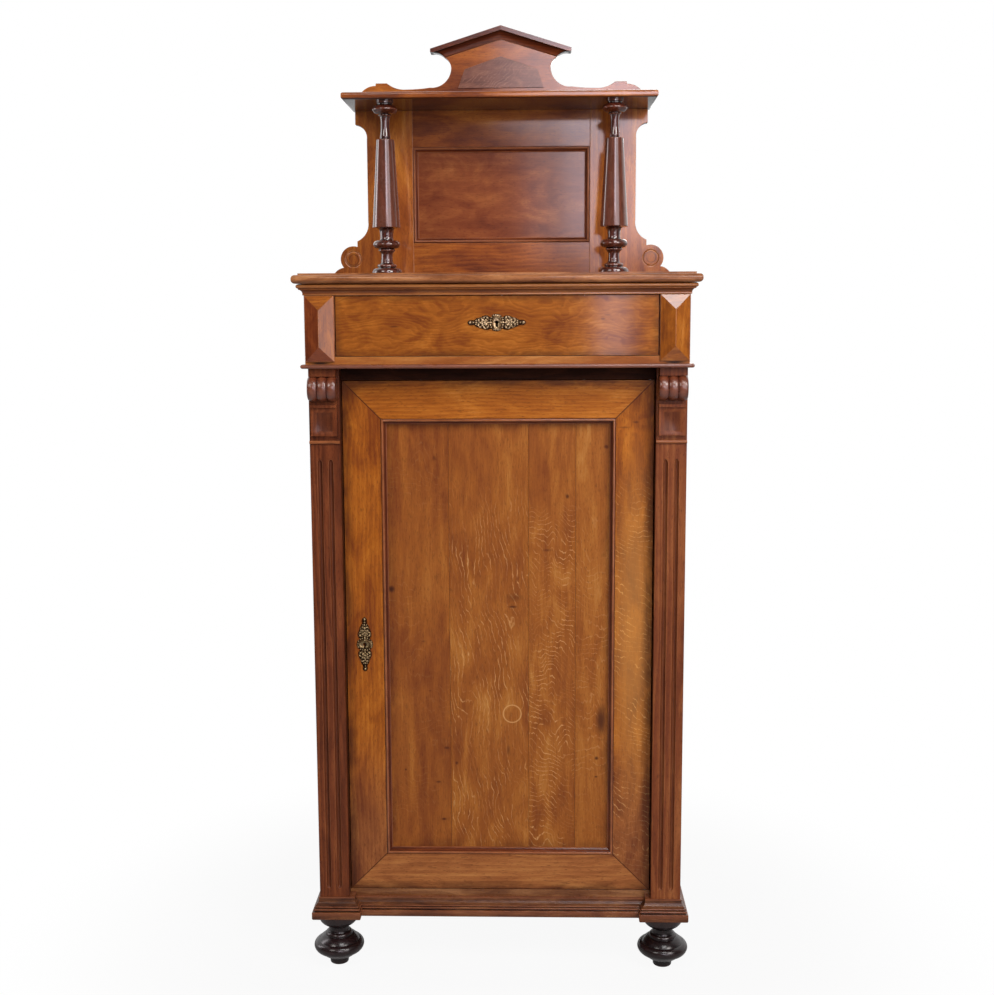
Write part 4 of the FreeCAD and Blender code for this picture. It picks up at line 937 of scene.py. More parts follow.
@dataclass
class Piece:
    """A new surface of the cupboard, before it is put in the scene."""

    name: str
    body: str
    slot: str
    shells: list[Shell]
    materials: list[bpy.types.Material]
    stands_for: tuple[str, ...] = ()
    crease: float = 32.0

    def build(self) -> bpy.types.Object:
        """Join the skins into one object, ride it on its body and report it.

        Returns:
            The finished object.
        """
        gathered = bmesh.new()
        for shell in self.shells:
            skin = shell.seal()
            gathered.from_mesh(skin)
            bpy.data.meshes.remove(skin)
        mesh = bpy.data.meshes.new(self.name)
        gathered.to_mesh(mesh)
        gathered.free()
        for material in self.materials:
            mesh.materials.append(material)
        mesh.shade_smooth()
        mesh.set_sharp_from_angle(angle=math.radians(self.crease))
        piece = put(self.name, mesh)
        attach(piece, self.body)
        if self.stands_for:
            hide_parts(*self.stands_for)
        log.info("%s rides on %s: %d faces", self.name, self.body, len(mesh.polygons))
        return piece


def soften(piece: bpy.types.Object, width: float, segments: int = 2, rubbed: bool = True) -> None:
    """Round a board's sharp edges by a modifier.

    Args:
        piece: the board.
        width: how wide the rounding is, in millimetres.
        segments: faces across the rounding.
        rubbed: whether the rounding shows the second material, the rubbed one.
    """
    bevel = piece.modifiers.new("softened_edges", "BEVEL")
    bevel.width = width * MM
    bevel.segments = segments
    bevel.limit_method = "ANGLE"
    bevel.angle_limit = math.radians(38)
    bevel.harden_normals = True
    if rubbed:
        bevel.material = 1


def keep(node: str, materials: Sequence[bpy.types.Material], width: float, rubbed: bool) -> None:
    """Give a piece that keeps its CAD shape its materials, whole flat faces and softened edges.

    Args:
        node: the piece's name.
        materials: its finish, and that of its rubbed edges where it has one.
        width: how far its edges are softened, in millimetres.
        rubbed: whether the softened edges show the second material.
    """
    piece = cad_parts[node]
    piece.data.materials.clear()
    for material in materials:
        piece.data.materials.append(material)
    weld = piece.modifiers.new("merged_corners", "WELD")
    weld.merge_threshold = 0.01 * MM
    flat = piece.modifiers.new("flat_faces", "DECIMATE")
    flat.decimate_type = "DISSOLVE"
    flat.angle_limit = math.radians(0.5)
    soften(piece, width, rubbed=rubbed)
    log.info("%s keeps its shape", node)


def dress(node: str, finish: Wood, grain: Grain, seed: float, width: float = 0.9,
          figure: Figure | None = None, edge: Edge = Edge.RUBBED) -> None:
    """Give a board of the fixed frame its wood and softened edges.

    Args:
        node: the board's name.
        finish: its wood and polish.
        grain: which way its grain runs.
        seed: picks its own piece of the log.
        width: how far its edges are softened, in millimetres.
        figure: how its figure differs from the finish's own.
        edge: how its softened edges look.
    """
    low, high = span(node)
    keep(node, [finish.lay(node, seed, figure, surface, (low + high) / 2, grain)
                for surface in (Edge.FLAT, edge)], width, True)


@dataclass
class Feet:
    """Four turned bun feet, each with a peg below and a tenon above."""

    across: float = 326.0
    front: float = -142.0
    rear: float = 170.0
    tenon: float = 14.0
    tenon_top: float = 129.0

    def outline(self) -> np.ndarray:
        """Draw half a foot from the floor up: peg, bun, shoulder ring, neck and flange."""
        return trace((
            (0, 0), (16.2, 0), (18.4, 1.8, 0.4), (19.4, 11.2), (21.4, 12.2), (38, 24.6, 0.12),
            (50, 37.0, 0.32), (43.2, 48.0, 0.32), (41.2, 48.5), (40.8, 49.3, -0.5), (29.6, 59.2, 0.10),
            (27.6, 59.6), (27.2, 60.4, -0.5), (21.8, 67.0, 0.34), (20.2, 71.0, -0.1),
            (20.4, 75.0, -0.1), (23.4, 81.4, -0.3), (25.0, 81.8), (38.4, 93.0, 0.24), (38.4, 109),
            (self.tenon, 109), (self.tenon, self.tenon_top), (0, self.tenon_top)))

    def build(self) -> None:
        """Make the four feet."""
        outline = self.outline()
        for end, y in (("front", self.front), ("rear", self.rear)):
            for side, x in (("left", -self.across), ("right", self.across)):
                seed = (1.0 if x < 0 else 2.0) + (0 if y < 0 else 4)
                name = f"foot_{end}_{side}"
                wood = BLACKENED.lay(name, seed, place=(0, 0, 60))
                Piece(name + "_turning", "case", "turned_hardwood",
                      [turned(outline, (x, y, 0), sides=128)], [wood], (name,)).build()


@dataclass
class Plinth:
    """Moulded base that breaks forward under each pilaster."""

    low: float = 109.0
    top: float = 153.0
    centre_top: float = 146.0
    half: float = 356.5
    inner: float = 290.0
    block_line: float = -180.0
    centre_line: float = -160.0
    door_face: float = -155.0
    back: float = 230.0

    def section(self, height: float, thick: float) -> np.ndarray:
        """Draw the base moulding: eased fascia, quirk, two beads and a cove.

        Args:
            height: full height of the moulding.
            thick: how far it goes back from its base line.

        Returns:
            Its section, reach and height.
        """
        rise = height / 44
        steps: list[Step] = [
            (-thick, 0), (9.4, 0), (13.8, 1.8, 0.2), (15, 5.4, 0.2), (15, 15.4), (14.2, 16.6, 0.4),
            (11.2, 17.0), (10.5, 18.3, -0.5), (10.9, 19.2), (10.9, 23.4, 0.95), (9.6, 23.8),
            (9.4, 24.8), (9.4, 27.8, 0.95), (8.0, 28.2), (7.8, 30.0), (2.6, 41.4, -0.34),
            (2.4, 44, 0.05), (-thick, 44)]
        return trace([(step[0], step[1] * rise, *step[2:]) for step in steps])

    def build(self) -> None:
        """Make the centre length, and the two blocks with their returns."""
        reach = self.inner + 3
        front = [(reach, self.centre_line, self.low), (-reach, self.centre_line, self.low)]
        section = self.section(self.centre_top - self.low, self.door_face - self.centre_line)
        centre = carried(section, front, (0, 0, 1), side=-1, start=20)
        wood = [PLINTH_WOOD.lay("plinth_front", 3.1,
                                Figure(ring=6.0, clouds=1.0, cloud_size=(26.0, 90.0)))]
        Piece("plinth_front_length", "case", "red_stained_oak", [centre], wood,
              ("plinth_front",)).build()
        shells = []
        for side in (-1.0, 1.0):
            block = [(side * self.inner, self.door_face, self.low),
                     (side * self.inner, self.block_line, self.low),
                     (side * self.half, self.block_line, self.low),
                     (side * self.half, self.door_face, self.low)]
            shells.append(carried(self.section(self.top - self.low, 25.0), block, (0, 0, 1),
                                  side=side, start=60 * side))
            shells.append(carried(self.section(self.top - self.low, 18.0),
                                  [(side * self.half, self.door_face, self.low),
                                   (side * self.half, self.back, self.low)], (0, 0, 1),
                                  side=side, start=140 * side))
        # painted highlights: pale spots on the beads at the blocks' inner mitres
        mitre_highlights = tuple(Mark(side * x, z, size, flat, 0.85, pale=True) for side in (-1.0, 1.0)
                      for x, z, size, flat in ((283.0, 151.0, 2.6, 1.0), (279.5, 143.5, 2.2, 2.0),
                                               (276.0, 131.0, 2.6, 1.4), (273.5, 125.5, 3.0, 1.6)))
        wood = [PLINTH_WOOD.lay("plinth_returns", 4.3, Figure(
            ring=6.0, clouds=0.9, cloud_size=(24.0, 70.0), shift=-0.05, marks=mitre_highlights))]
        Piece("plinth_blocks_and_returns", "case", "red_stained_oak", shells, wood,
              ("plinth_block_left", "plinth_block_right", "plinth_sides")).build()


# The plinth's polish has been dulled by mops and shoes.
PLINTH_WOOD = replace(POLISHED_RED, name="plinth_oak", coat=0.45, specular=0.12, stops=(
    (0.12, "30150a"), (0.34, "4b2813"), (0.52, "60371c"), (0.70, "744828"), (0.92, "91633c")))


@dataclass
class Case:
    """The cupboard's boards: floor, posts, rail, framed sides, back and shelves."""

    stile: float = 70.0
    waist: float = 640.0

    def build(self) -> None:
        """Dress the plain boards and make the two framed sides."""
        dress("floor_board", PLINTH_WOOD, Grain.ACROSS, 1.2,
              figure=Figure(ring=6.0, pith=(60.0, 30.0), rings=0.16, clouds=0.8, shift=0.30))
        dress("front_posts", REDDENED, Grain.UPRIGHT, 2.4)
        dress("head_rail", SHADED, Grain.ACROSS, 3.6)
        dress("base_framing", PINE, Grain.ACROSS, 5.1)
        dress("back_boards", PINE, Grain.UPRIGHT, 6.3, 1.4,
              Figure(ring=15.0, rings=0.34, clouds=0.8, pith=(-150.0, 60.0), warp=34.0))
        dress("shelves", PINE, Grain.ACROSS, 7.7)
        dress("shelf_cleats", PINE, Grain.DEEP, 8.2)
        dress("side_panels", FIGURED, Grain.UPRIGHT, 9.4, 0.6,
              Figure(ring=10.0, pith=(60.0, 20.0), rings=0.2, clouds=0.8, rays=0.4))
        for side in ("left", "right"):
            self.framed_side(side)

    def framed_side(self, side: str) -> None:
        """Make one framed side of two stiles and three rails.

        Args:
            side: "left" or "right".
        """
        node = f"side_frame_{side}"
        low, high = span(node)
        panels_low, panels_high = span("side_panels")
        front, back = low[1] + self.stile, high[1] - self.stile
        half = self.stile / 2
        boards = [plank(low, (high[0], front, high[2]), 2, 11),
                  plank((low[0], back, low[2]), high, 2, 340)]
        rails = ((low[2], panels_low[2]), (self.waist - half, self.waist + half),
                 (panels_high[2], high[2]))
        for number, (foot, head) in enumerate(rails):
            boards.append(plank((low[0], front, foot), (high[0], back, head), 1, 700 + 190 * number))
        look = Figure(ring=6.5, pith=(30.0, 55.0), rings=0.18, clouds=0.65, warp=18.0)
        wood = [REDDENED.lay(node, 1.7 if side == "left" else 2.9, look, edge)
                for edge in (Edge.FLAT, Edge.RUBBED)]
        piece = Piece(node + "_boards", "case", "red_stained_oak", boards, wood, (node,)).build()
        soften(piece, 0.9)


@dataclass
class Pilasters:
    """Fluted pilasters with a thin bead across under each carved head."""

    face: float = -180.0
    back: float = -155.0
    low: float = 153.0
    high: float = 1199.0
    middle: float = 327.5
    half: float = 29.0
    flute: float = 4.5
    spacing: float = 21.0
    flute_low: float = 170.0
    flute_high: float = 1026.0
    tip: float = 9.0
    bead_low: float = 1056.0
    bead_high: float = 1062.0
    bead_reach: float = 5.0

    def front(self, x: float) -> np.ndarray:
        """Shape the fluted face.

        In a flute, x = centre + r sin(p) and y = face + r cos(p) for p from -90 to 90 degrees, and
        near its ends r shrinks as sqrt(1 - (1 - t)^2), t running from 0 at the tip to 1. A flat
        strip 1.4 mm wide runs along each arris, so that its pale line, both rubbed and a painted
        highlight, stays narrow.

        Args:
            x: the pilaster's middle.

        Returns:
            Rows up the pilaster by columns across it.
        """
        near_tip = self.tip * (1 - np.cos(np.linspace(0, np.pi / 2, 7)))
        rows = np.unique(np.round(np.concatenate((
            [self.low, self.high], self.flute_low + near_tip, self.flute_high - near_tip,
            np.linspace(self.flute_low + self.tip, self.flute_high - self.tip, 8))), 4))
        t = np.clip(np.minimum(rows - self.flute_low, self.flute_high - rows) / self.tip, 0, 1)
        radius = self.flute * np.sqrt(1 - (1 - t) ** 2)
        across = np.linspace(-np.pi / 2, np.pi / 2, 13)
        columns, depths = [np.full_like(rows, -self.half)], [np.zeros_like(rows)]
        for centre in (-self.spacing / 2, self.spacing / 2):
            for angle in (-3.0, *across, 3.0):
                reach = radius * np.sin(angle) if abs(angle) < 3 else (radius + 1.4) * np.sign(angle)
                columns.append(centre + reach)
                depths.append(radius * np.cos(angle) if abs(angle) < 3 else np.zeros_like(rows))
        columns.append(np.full_like(rows, self.half))
        depths.append(np.zeros_like(rows))
        return np.stack((x + np.array(columns).T, self.face + np.array(depths).T,
                         np.repeat(rows[:, None], len(columns), axis=1)), -1)

    def build(self) -> None:
        """Make both pilasters with their beads."""
        bead = trace(((self.face + 4, self.bead_low), (self.face, self.bead_low),
                      (self.face, self.bead_high, -1.6), (self.face + 4, self.bead_high)))
        bead[:, 0] = np.maximum(bead[:, 0], self.face - self.bead_reach)
        section = np.stack((self.face - bead[:, 0], bead[:, 1] - self.bead_low), -1)
        for side, sign in (("left", -1.0), ("right", 1.0)):
            x = sign * self.middle
            points = self.front(x)
            depth = points[..., 1] - self.face
            grain = points - np.array((x, self.face, 0))
            # flutes darken with dust and painted shade; arrises are pale, both rubbed and painted
            # highlight; the sides darken towards the back, painted shade
            arris = np.zeros(points.shape[1])
            arris[[2, 14, 17, 29]] = 0.75
            body = faced(points, self.back, grain, rim_shade=-1.0,
                         wear=-0.5 * depth / self.flute + arris * (depth < 0.01)
                         * (points[..., 2] > self.flute_low) * (points[..., 2] < self.flute_high))
            across = [(x - self.half, self.face, self.bead_low),
                      (x + self.half, self.face, self.bead_low)]
            bead_run = carried(section, across, (0, 0, 1), side=1, start=500)
            bead_run.slot = 1
            # painted light: the shift lightens the right pilaster and darkens the left, as light falls
            # from the right
            look = Figure(ring=5.5, pith=(20.0, 40.0), rings=0.20, clouds=0.5, warp=13.0,
                          warp_size=(40.0, 420.0), shift=0.03 + 0.09 * sign)
            node = f"pilaster_{side}"
            wood = [REDDENED.lay(node, 5.5 + sign, look, place=(0, 0, 676)),
                    DARK.lay(node + "_bead", 6.5 + sign)]
            piece = Piece(node + "_fluted", "case", "red_stained_oak", [body, bead_run], wood,
                          (node,), crease=40.0).build()
            soften(piece, 1.2, 3, rubbed=False)


@dataclass
class Corbels:
    """Carved corbels: a head with a sunk field, and a reeded scroll under a cap."""

    middle: float = 327.5
    width: float = 50.0
    back: float = -180.0
    head_face: float = -188.0
    head: tuple[float, float] = (1071.0, 1125.0)
    field_half: float = 19.0
    field_margin: float = 5.5
    field_sink: float = 3.0
    roll_y: float = -192.0
    roll_z: float = 1161.0
    roll_width: float = 54.0
    roll: float = 24.0
    reeds: int = 3
    reed_depth: float = 3.4

    def head_block(self, x: float) -> Shell:
        """Shape the head, whose field sinks by 3 mm down a bevel 5 mm wide on all sides.

        Args:
            x: the corbel's middle.

        Returns:
            The closed skin.
        """
        half, bevel = self.width / 2, 5.0
        low, high = self.head[0] + self.field_margin, self.head[1] - self.field_margin
        across = np.array((-half, -self.field_half, -self.field_half + bevel,
                           self.field_half - bevel, self.field_half, half))
        up = np.array((self.head[0], low, low + bevel, high - bevel, high, self.head[1]))
        columns, rows = np.meshgrid(across, up)
        inside = np.minimum.reduce((self.field_half - np.abs(columns), rows - low, high - rows))
        sink = self.field_sink * np.clip(inside / bevel, 0, 1)
        front = np.stack((x + columns, self.head_face + sink, rows), -1)
        # the sunk field darkens with dust and painted shade; the sides darken towards the back, painted
        # shade
        return faced(front, self.back, front - np.array((x, self.head_face, 0)),
                     wear=-0.5 * sink / self.field_sink, rim_shade=-0.6)

    def scroll(self, x: float) -> Shell:
        """Spin the reeded scroll about a line from left to right.

        Its radius falls by 3.4 mm between reeds: radius = roll - depth (1 - sqrt(1 - s^2)), with s
        from -1 to 1 across each reed. A shallow groove of 0.9 mm winds in on each end.

        Args:
            x: the corbel's middle.

        Returns:
            The closed skin.
        """
        half = self.roll_width / 2
        share = np.sin(np.linspace(-np.pi / 2, np.pi / 2, 17))
        reed = half * 2 / self.reeds
        centres = -half + reed * (np.arange(self.reeds) + 0.5)
        levels = (centres[:, None] + share * reed / 2).ravel()
        radii = np.tile(self.roll - self.reed_depth * (1 - np.sqrt(1 - share ** 2 * 0.999)), self.reeds)
        turn = np.linspace(0, 2 * np.pi, 97)
        ends = np.linspace(0, self.roll - self.reed_depth, 24)
        shell = Shell()
        rows = []
        for way in (-1.0, 1.0):
            ring = (ends[:, None] / 7.0 - turn / (2 * np.pi)) % 1.0
            groove = 0.9 * np.exp(-((ring - 0.5) / 0.13) ** 2) * (
                (ends > 3.0) & (ends < self.roll - self.reed_depth - 1.0))[:, None]
            rows.append(np.stack((way * (half - groove), ends[:, None] * np.cos(turn),
                                  ends[:, None] * np.sin(turn)), -1))
        body = np.stack((levels[:, None] * np.ones_like(turn), radii[:, None] * np.cos(turn),
                         radii[:, None] * np.sin(turn)), -1)
        points = np.concatenate((rows[0], body, rows[1][::-1]))
        # reed crests rub pale; the grooves between them darken with dust and painted shade
        worn = np.concatenate((np.zeros(24), 1.6 * (radii - radii.min()) / self.reed_depth - 0.95,
                               np.zeros(24)))
        grain = points[..., [1, 2, 0]]
        shell.sheet(points + np.array((x, self.roll_y, self.roll_z)), grain, wear=worn[:, None])
        return shell

    def build(self) -> None:
        """Make both corbels."""
        for side, sign in (("left", -1.0), ("right", 1.0)):
            x, half = sign * self.middle, self.width / 2
            blocks = [plank((x - half, face, low), (x + half, self.back, high), 2, 90 + low)
                      for face, low, high in ((-193.0, 1125.0, 1130.5), (-185.0, 1130.5, 1147.0),
                                              (-192.0, 1147.0, 1184.0), (-202.0, 1184.0, 1199.0))]
            wood = [REDDENED.lay(f"corbel_{side}", 8.5 + sign)]
            Piece(f"corbel_{side}_blocks", "case", "red_stained_oak",
                  [self.head_block(x), *blocks], wood, (f"corbel_{side}",)).build()
            wood = [POLISHED_RED.lay(f"scroll_{side}", 3.5 + sign)]
            Piece(f"corbel_{side}_scroll", "case", "red_stained_oak", [self.scroll(x)], wood,
                  (f"corbel_{side}",), crease=50.0).build()


@dataclass
class DrawerSection:
    """The projecting section that holds the drawer, with its bead and diamond blocks."""

    half: float = 356.5
    face: float = -210.0
    back: float = 222.0
    base: float = 1199.0
    diamond_middle: float = 328.25
    diamond_half: float = 27.0
    diamond_low: float = 1212.0
    diamond_high: float = 1333.0
    diamond_base: float = -213.0
    diamond_ridge: float = -225.0
    veneers: dict[str, tuple[int, ...]] = field(default_factory=lambda: {
        "left": (2, 0, 0, 2), "right": (0, 0, 0, 0)})

    def bead(self) -> None:
        """Make the half-round bead on the front and the two sides."""
        section = trace(((-3, 0.2), (4, 0), (4, 8, 1.0), (-3, 7.8)), turns=16)
        path = three_sides(self.half, self.back, self.face, self.base)
        wood = [POLISHED_RED.lay("section_bead", 2.2,
                                 Figure(ring=5.0, rings=0.12, clouds=1.0, cloud_size=(14.0, 60.0)))]
        Piece("section_bead_run", "case", "dark_moulding",
              [carried(section, path, (0, 0, 1), start=33)], wood, ("section_bead",)).build()

    def diamond(self, side: str, sign: float) -> None:
        """Make one diamond block, each of its four bevels cut from its own veneer.

        The block is y = base - rise min(1, edge / half width), where edge is the distance to the
        nearest side.

        Args:
            side: "left" or "right".
            sign: -1 or 1 for that side.
        """
        x, half = sign * self.diamond_middle, self.diamond_half
        low, high = self.diamond_low, self.diamond_high
        corners = np.array([(x + dx, self.diamond_base, z) for dx, z in (
            (-half, low), (half, low), (half, high), (-half, high))])
        ring = np.vstack((corners, corners[:1]))
        ridge = np.array(((x, self.diamond_ridge, low + half), (x, self.diamond_ridge, high - half)))
        middle = np.array((x, self.diamond_base, (low + high) / 2))
        shell = Shell()
        for number, (one, two) in enumerate(((0, 0), (0, 1), (1, 1), (1, 0))):
            sheet = np.array((ring[number:number + 2], (ridge[one], ridge[two])))
            order = [0, 1, 2] if number % 2 else [2, 1, 0]
            shift = np.array((90.0 * number, 0, 40.0 * number))
            shell.sheet(sheet, (sheet - middle)[..., order] + shift, slot=self.veneers[side][number])
        deep = ring.copy()
        deep[:, 1] = self.face
        numbers = shell.sheet(np.stack((ring, deep)))
        shell.lid(numbers[1, :-1])
        look = Figure(ring=7.0, rings=0.08, clouds=0.8, pith=(20.0, 30.0), warp=12.0,
                      cloud_size=(24.0, 60.0))
        name = f"diamond_{side}"
        wood = [DIAMOND.lay(name, 4.0 + sign, look),
                DIAMOND.lay(name, 4.0 + sign, look, Edge.RUBBED),
                DIAMOND_RED.lay(name, 5.0 + sign, look)]
        piece = Piece(f"diamond_block_{side}_veneered", "case", "red_stained_oak", [shell], wood,
                      (f"diamond_block_{side}",), crease=8.0).build()
        soften(piece, 0.5)

    def build(self) -> None:
        """Dress the section's boards and make its bead and blocks."""
        # dirt lies in the corner under each diamond block
        # painted shadow: a dark patch under each diamond block, made near black by the floor's dark
        # pore colour
        corners = tuple(Mark(sign * self.diamond_middle, 1209.0, 31.0, 8.0, 1.0) for sign in (-1, 1))
        dress("section_floor", replace(FIGURED, name="section_oak", pore="1c0b05", pore_depth=0.3),
              Grain.ACROSS, 4.4,
              figure=Figure(ring=6.0, pith=(60.0, 30.0), clouds=0.9, shift=0.15, marks=corners))
        dress("section_stiles", REDDENED, Grain.UPRIGHT, 5.4)
        dress("section_sides", REDDENED, Grain.DEEP, 6.4)
        dress("drawer_top_rail", REDDENED, Grain.ACROSS, 7.4)
        dress("drawer_guides", PINE, Grain.DEEP, 8.4)
        self.bead()
        self.diamond("left", -1.0)
        self.diamond("right", 1.0)


# The diamond blocks' veneer: golden, cut so that each bevel catches the light its own way.
DIAMOND = Wood(
    "diamond_veneer",
    stops=((0.12, "62300c"), (0.34, "783e10"), (0.52, "8c4c13"), (0.70, "9e5c19"), (0.92, "b0702c")),
    pore="43200d", ray="c6955a", worn="c48a5c", grime_and_shade="2a0f08", coat=1.0, coat_roughness=0.07,
    specular=0.08)

# The veneer of the bevels that were stained red.
DIAMOND_RED = Wood(
    "diamond_veneer_red",
    stops=((0.12, "4e1d08"), (0.34, "62290c"), (0.52, "713211"), (0.70, "803d17"), (0.92, "935024")),
    pore="2c1008", ray="8f5b3c", worn="a8643c", grime_and_shade="1f0c08", coat=1.0, coat_roughness=0.07,
    specular=0.08)


@dataclass
class Cornice:
    """Cove and bead under the top board."""

    half: float = 356.5
    face: float = -210.0
    back: float = 230.0
    base: float = 1334.0

    def build(self) -> None:
        """Make the cornice and dress the top board."""
        section = trace(((-3, 0), (1.8, 0), (2.0, 1.6, 0.2), (8.6, 10.2, -0.45), (9.0, 10.8),
                         (8.6, 12.0, -0.4), (9.2, 12.4), (9.4, 19.8, 0.85), (7.8, 20.4), (-3, 21)),
                        turns=12)
        path = three_sides(self.half, self.back, self.face, self.base)
        wood = [CORNICE_WOOD.lay("cornice", 7.2)]
        Piece("cornice_run", "case", "dark_moulding",
              [carried(section, path, (0, 0, 1), start=71)], wood, ("cornice_moulding",)).build()
        dress("top_board", TOP_WOOD, Grain.ACROSS, 3.8, 0.5,
              Figure(ring=6.0, pith=(80.0, 30.0), clouds=0.9, cloud_size=(30.0, 110.0), shift=-0.06))


# The cornice: golden brown on its bead, red and darkened in its cove with dust and painted shade.
CORNICE_WOOD = Wood(
    "cornice_oak",
    stops=((0.12, "4c220e"), (0.34, "6b3617"), (0.52, "82491f"), (0.70, "955a28"), (0.92, "a96f3a")),
    pore="2c130a", ray="8f5b3c", worn="a8703c", grime_and_shade="230b07", specular=0.10, coat=0.6,
    coat_roughness=0.12, hollow_grime_and_shade=0.9, figure=Figure(ring=5.0, clouds=0.7, warp=10.0))

# The top board: honey oak that a century of hands has reddened.
TOP_WOOD = Wood(
    "top_oak",
    stops=((0.12, "5c3018"), (0.34, "7e4a26"), (0.52, "945d34"), (0.70, "a97246"), (0.92, "bd8a5e")),
    pore="3a1a0b", ray="b98650", worn="b5804a", grime_and_shade="2a0f08", specular=0.12, coat=0.6,
    # undersides a little darkened: painted shade
    coat_roughness=0.12, under=0.2)


@dataclass(frozen=True)
class PanelMoulding:
    """A mitred panel moulding: a groove and bead at the frame, then a hollow down to the panel."""

    half: float
    low: float
    high: float
    floor: float
    width: float
    height: float

    def shell(self) -> Shell:
        """Carry the moulding round its field.

        Returns:
            The closed skin, its reach measured inwards from the frame.
        """
        wide, tall = self.width / 14, self.height / 15
        steps: list[Step] = [
            (0, 0), (14, 0), (14, 2.2), (12.6, 3.9, 0.5), (11.9, 3.5), (11.5, 4.1, -0.4),
            (8.2, 9.4, -0.26), (7.6, 9.4), (7.2, 10.2, -0.3), (7.2, 12.0),
            (1.8, 13.4, 0.80), (1.3, 9.2), (0, 9.2)]
        section = trace([(step[0] * wide, step[1] * tall, *step[2:]) for step in steps], turns=8)
        corners = [(-self.half, self.floor, self.low), (self.half, self.floor, self.low),
                   (self.half, self.floor, self.high), (-self.half, self.floor, self.high)]
        return carried(section, corners, (0, -1, 0), side=-1, closed=True, start=12)


@dataclass
class Door:
    """The mitred, panelled door with its pin hole; its lock and pivots are dressed with the ironwork.
    """

    joints: tuple[float, ...] = (-96.0, 58.0, 149.0)
    gap: float = 0.15
    mitre_line: tuple[float, float, float] = (0.4, 2.4, 0.85)
    moulding_width: float = 10.8
    moulding_height: float = 15.5

    def panel(self) -> None:
        """Make the panel of four boards glued side by side."""
        low, high = span("door_panel")
        edges = [low[0], *self.joints, high[0]]
        shown = (low[0] + 11, low[2] + 11, high[0] - 11, high[2] - 11)
        # the shifts darken the left board and lighten the right ones: partly the boards' own tones,
        # partly painted light falling from the right
        looks = (
            Figure(ring=16.0, pith=(-20.0, 50.0), rings=0.08, fibres=0.26, clouds=0.75,
                   cloud_size=(50.0, 200.0), shift=-0.10, rays=0.12, dirt_and_shade=0.35, edges=shown, marks=(
                       Mark(-209.4, 768, 10.0, 1.0, 1.0), Mark(-104, 448, 9.0, 2.0, 0.75, 5.0),
                       Mark(-121, 378, 8.0, 2.2, 0.75, 5.0), Mark(-111, 301, 8.0, 2.0, 0.85, 6.0),
                       Mark(-186, 403, 3.6, 1.0, 0.7), Mark(-148, 664, 6.0, 2.0, 0.5, 5.0),
                       Mark(-136, 564, 5.0, 2.0, 0.5, 4.0), Mark(-122.6, 1024, 7.0, 1.0, 0.5, 6.0))),
            Figure(ring=13.0, pith=(30.0, 60.0), rings=0.08, fibres=0.26, clouds=0.85,
                   cloud_size=(45.0, 180.0), rays=0.85, ray_gap=(9.0, 46.0), ray_bend=3.2,
                   ray_size=(64.0, 110.0), ray_zone=(-400.0, 960.0), dirt_and_shade=0.35, edges=shown, marks=(
                       Mark(27, 733, 12.0, 3.2, 0.8, 9.0), Mark(30, 752, 26.0, 2.4, 0.35),
                       Mark(-84.7, 417, 4.5, 0.8, 0.8), Mark(18, 444, 5.0, 0.3, 0.5)),
                   round_marks=(Ring(25.5, 518.0, 17.5, 1.9, 0.8),)),
            Figure(ring=11.0, pith=(0.0, 40.0), rings=0.08, fibres=0.26, clouds=0.85,
                   cloud_size=(36.0, 130.0), shift=0.02, rays=1.0, ray_gap=(24.0, 11.0),
                   ray_size=(40.0, 90.0), ray_bend=3.6, ray_zone=(-400.0, 930.0), dirt_and_shade=0.35,
                   edges=shown, marks=(Mark(133, 950, 5.0, 0.8, 0.85), Mark(94, 845, 12.0, 3.0, 0.5))),
            Figure(ring=15.0, pith=(20.0, 70.0), rings=0.06, fibres=0.26, clouds=0.75,
                   cloud_size=(45.0, 220.0), shift=0.08, rays=0.4, ray_zone=(-400.0, 930.0), dirt_and_shade=0.35,
                   edges=shown, marks=(
                       Mark(191.6, 428, 5.5, 1.0, 0.9), Mark(191, 390, 4.6, 1.6, 0.85),
                       Mark(200, 505, 14.0, 0.35, 0.85), Mark(207, 1046, 6.5, 1.2, 0.8))))
        gap = self.gap
        shells = [plank((left + gap, low[1], low[2]), (right - gap, high[1], high[2]), 2, 0, number)
                  for number, (left, right) in enumerate(zip(edges, edges[1:]))]
        wood = [PANEL.lay(f"board_{number + 1}", 1.3 + 2.1 * number, look)
                for number, look in enumerate(looks)]
        piece = Piece("door_panel_boards", "door", "figured_oak", shells, wood, ("door_panel",)).build()
        soften(piece, 0.35, rubbed=False)

    def build(self) -> None:
        """Dress the frame and make the panel and its moulding."""
        low, high = span("door_stiles")
        door = (low[0], low[2], high[0], high[2])
        # the frame darkens and dulls towards the bottom (sallow): painted shade, as less light reaches
        # it
        dress("door_stiles", GOLDEN, Grain.UPRIGHT, 3.3, 1.8,
              Figure(ring=9.0, pith=(260.0, 50.0), rings=0.10, clouds=0.7, warp=20.0,
                     cloud_size=(40.0, 120.0), rays=1.0, ray_zone=(240.0, 990.0), ray_gap=(26.0, 12.0),
                     ray_bend=3.0, ray_width=0.10, shift=-0.02, edges=door,
                     mitre_line=self.mitre_line, sallow=(230.0, 520.0), marks=(
                         Mark(262.7, 1094.0, 9.0, 2.8, 0.8, 9.0), Mark(240.0, 1084.0, 16.0, 6.0, 0.5),
                         # painted light: a long pale patch lightens the right stile, as light falls
                         # from the right
                         Mark(262.0, 690.0, 62.0, 0.13, 0.30, pale=True),
                         # painted shadow: a dark patch in the top left corner, under the drawer section
                         Mark(-292.0, 1166.0, 46.0, 1.0, 0.6),
                         Mark(-283.0, 1085.0, 9.0, 1.0, 0.4, 9.0))),
              edge=Edge.GRIMY_AND_SHADED)
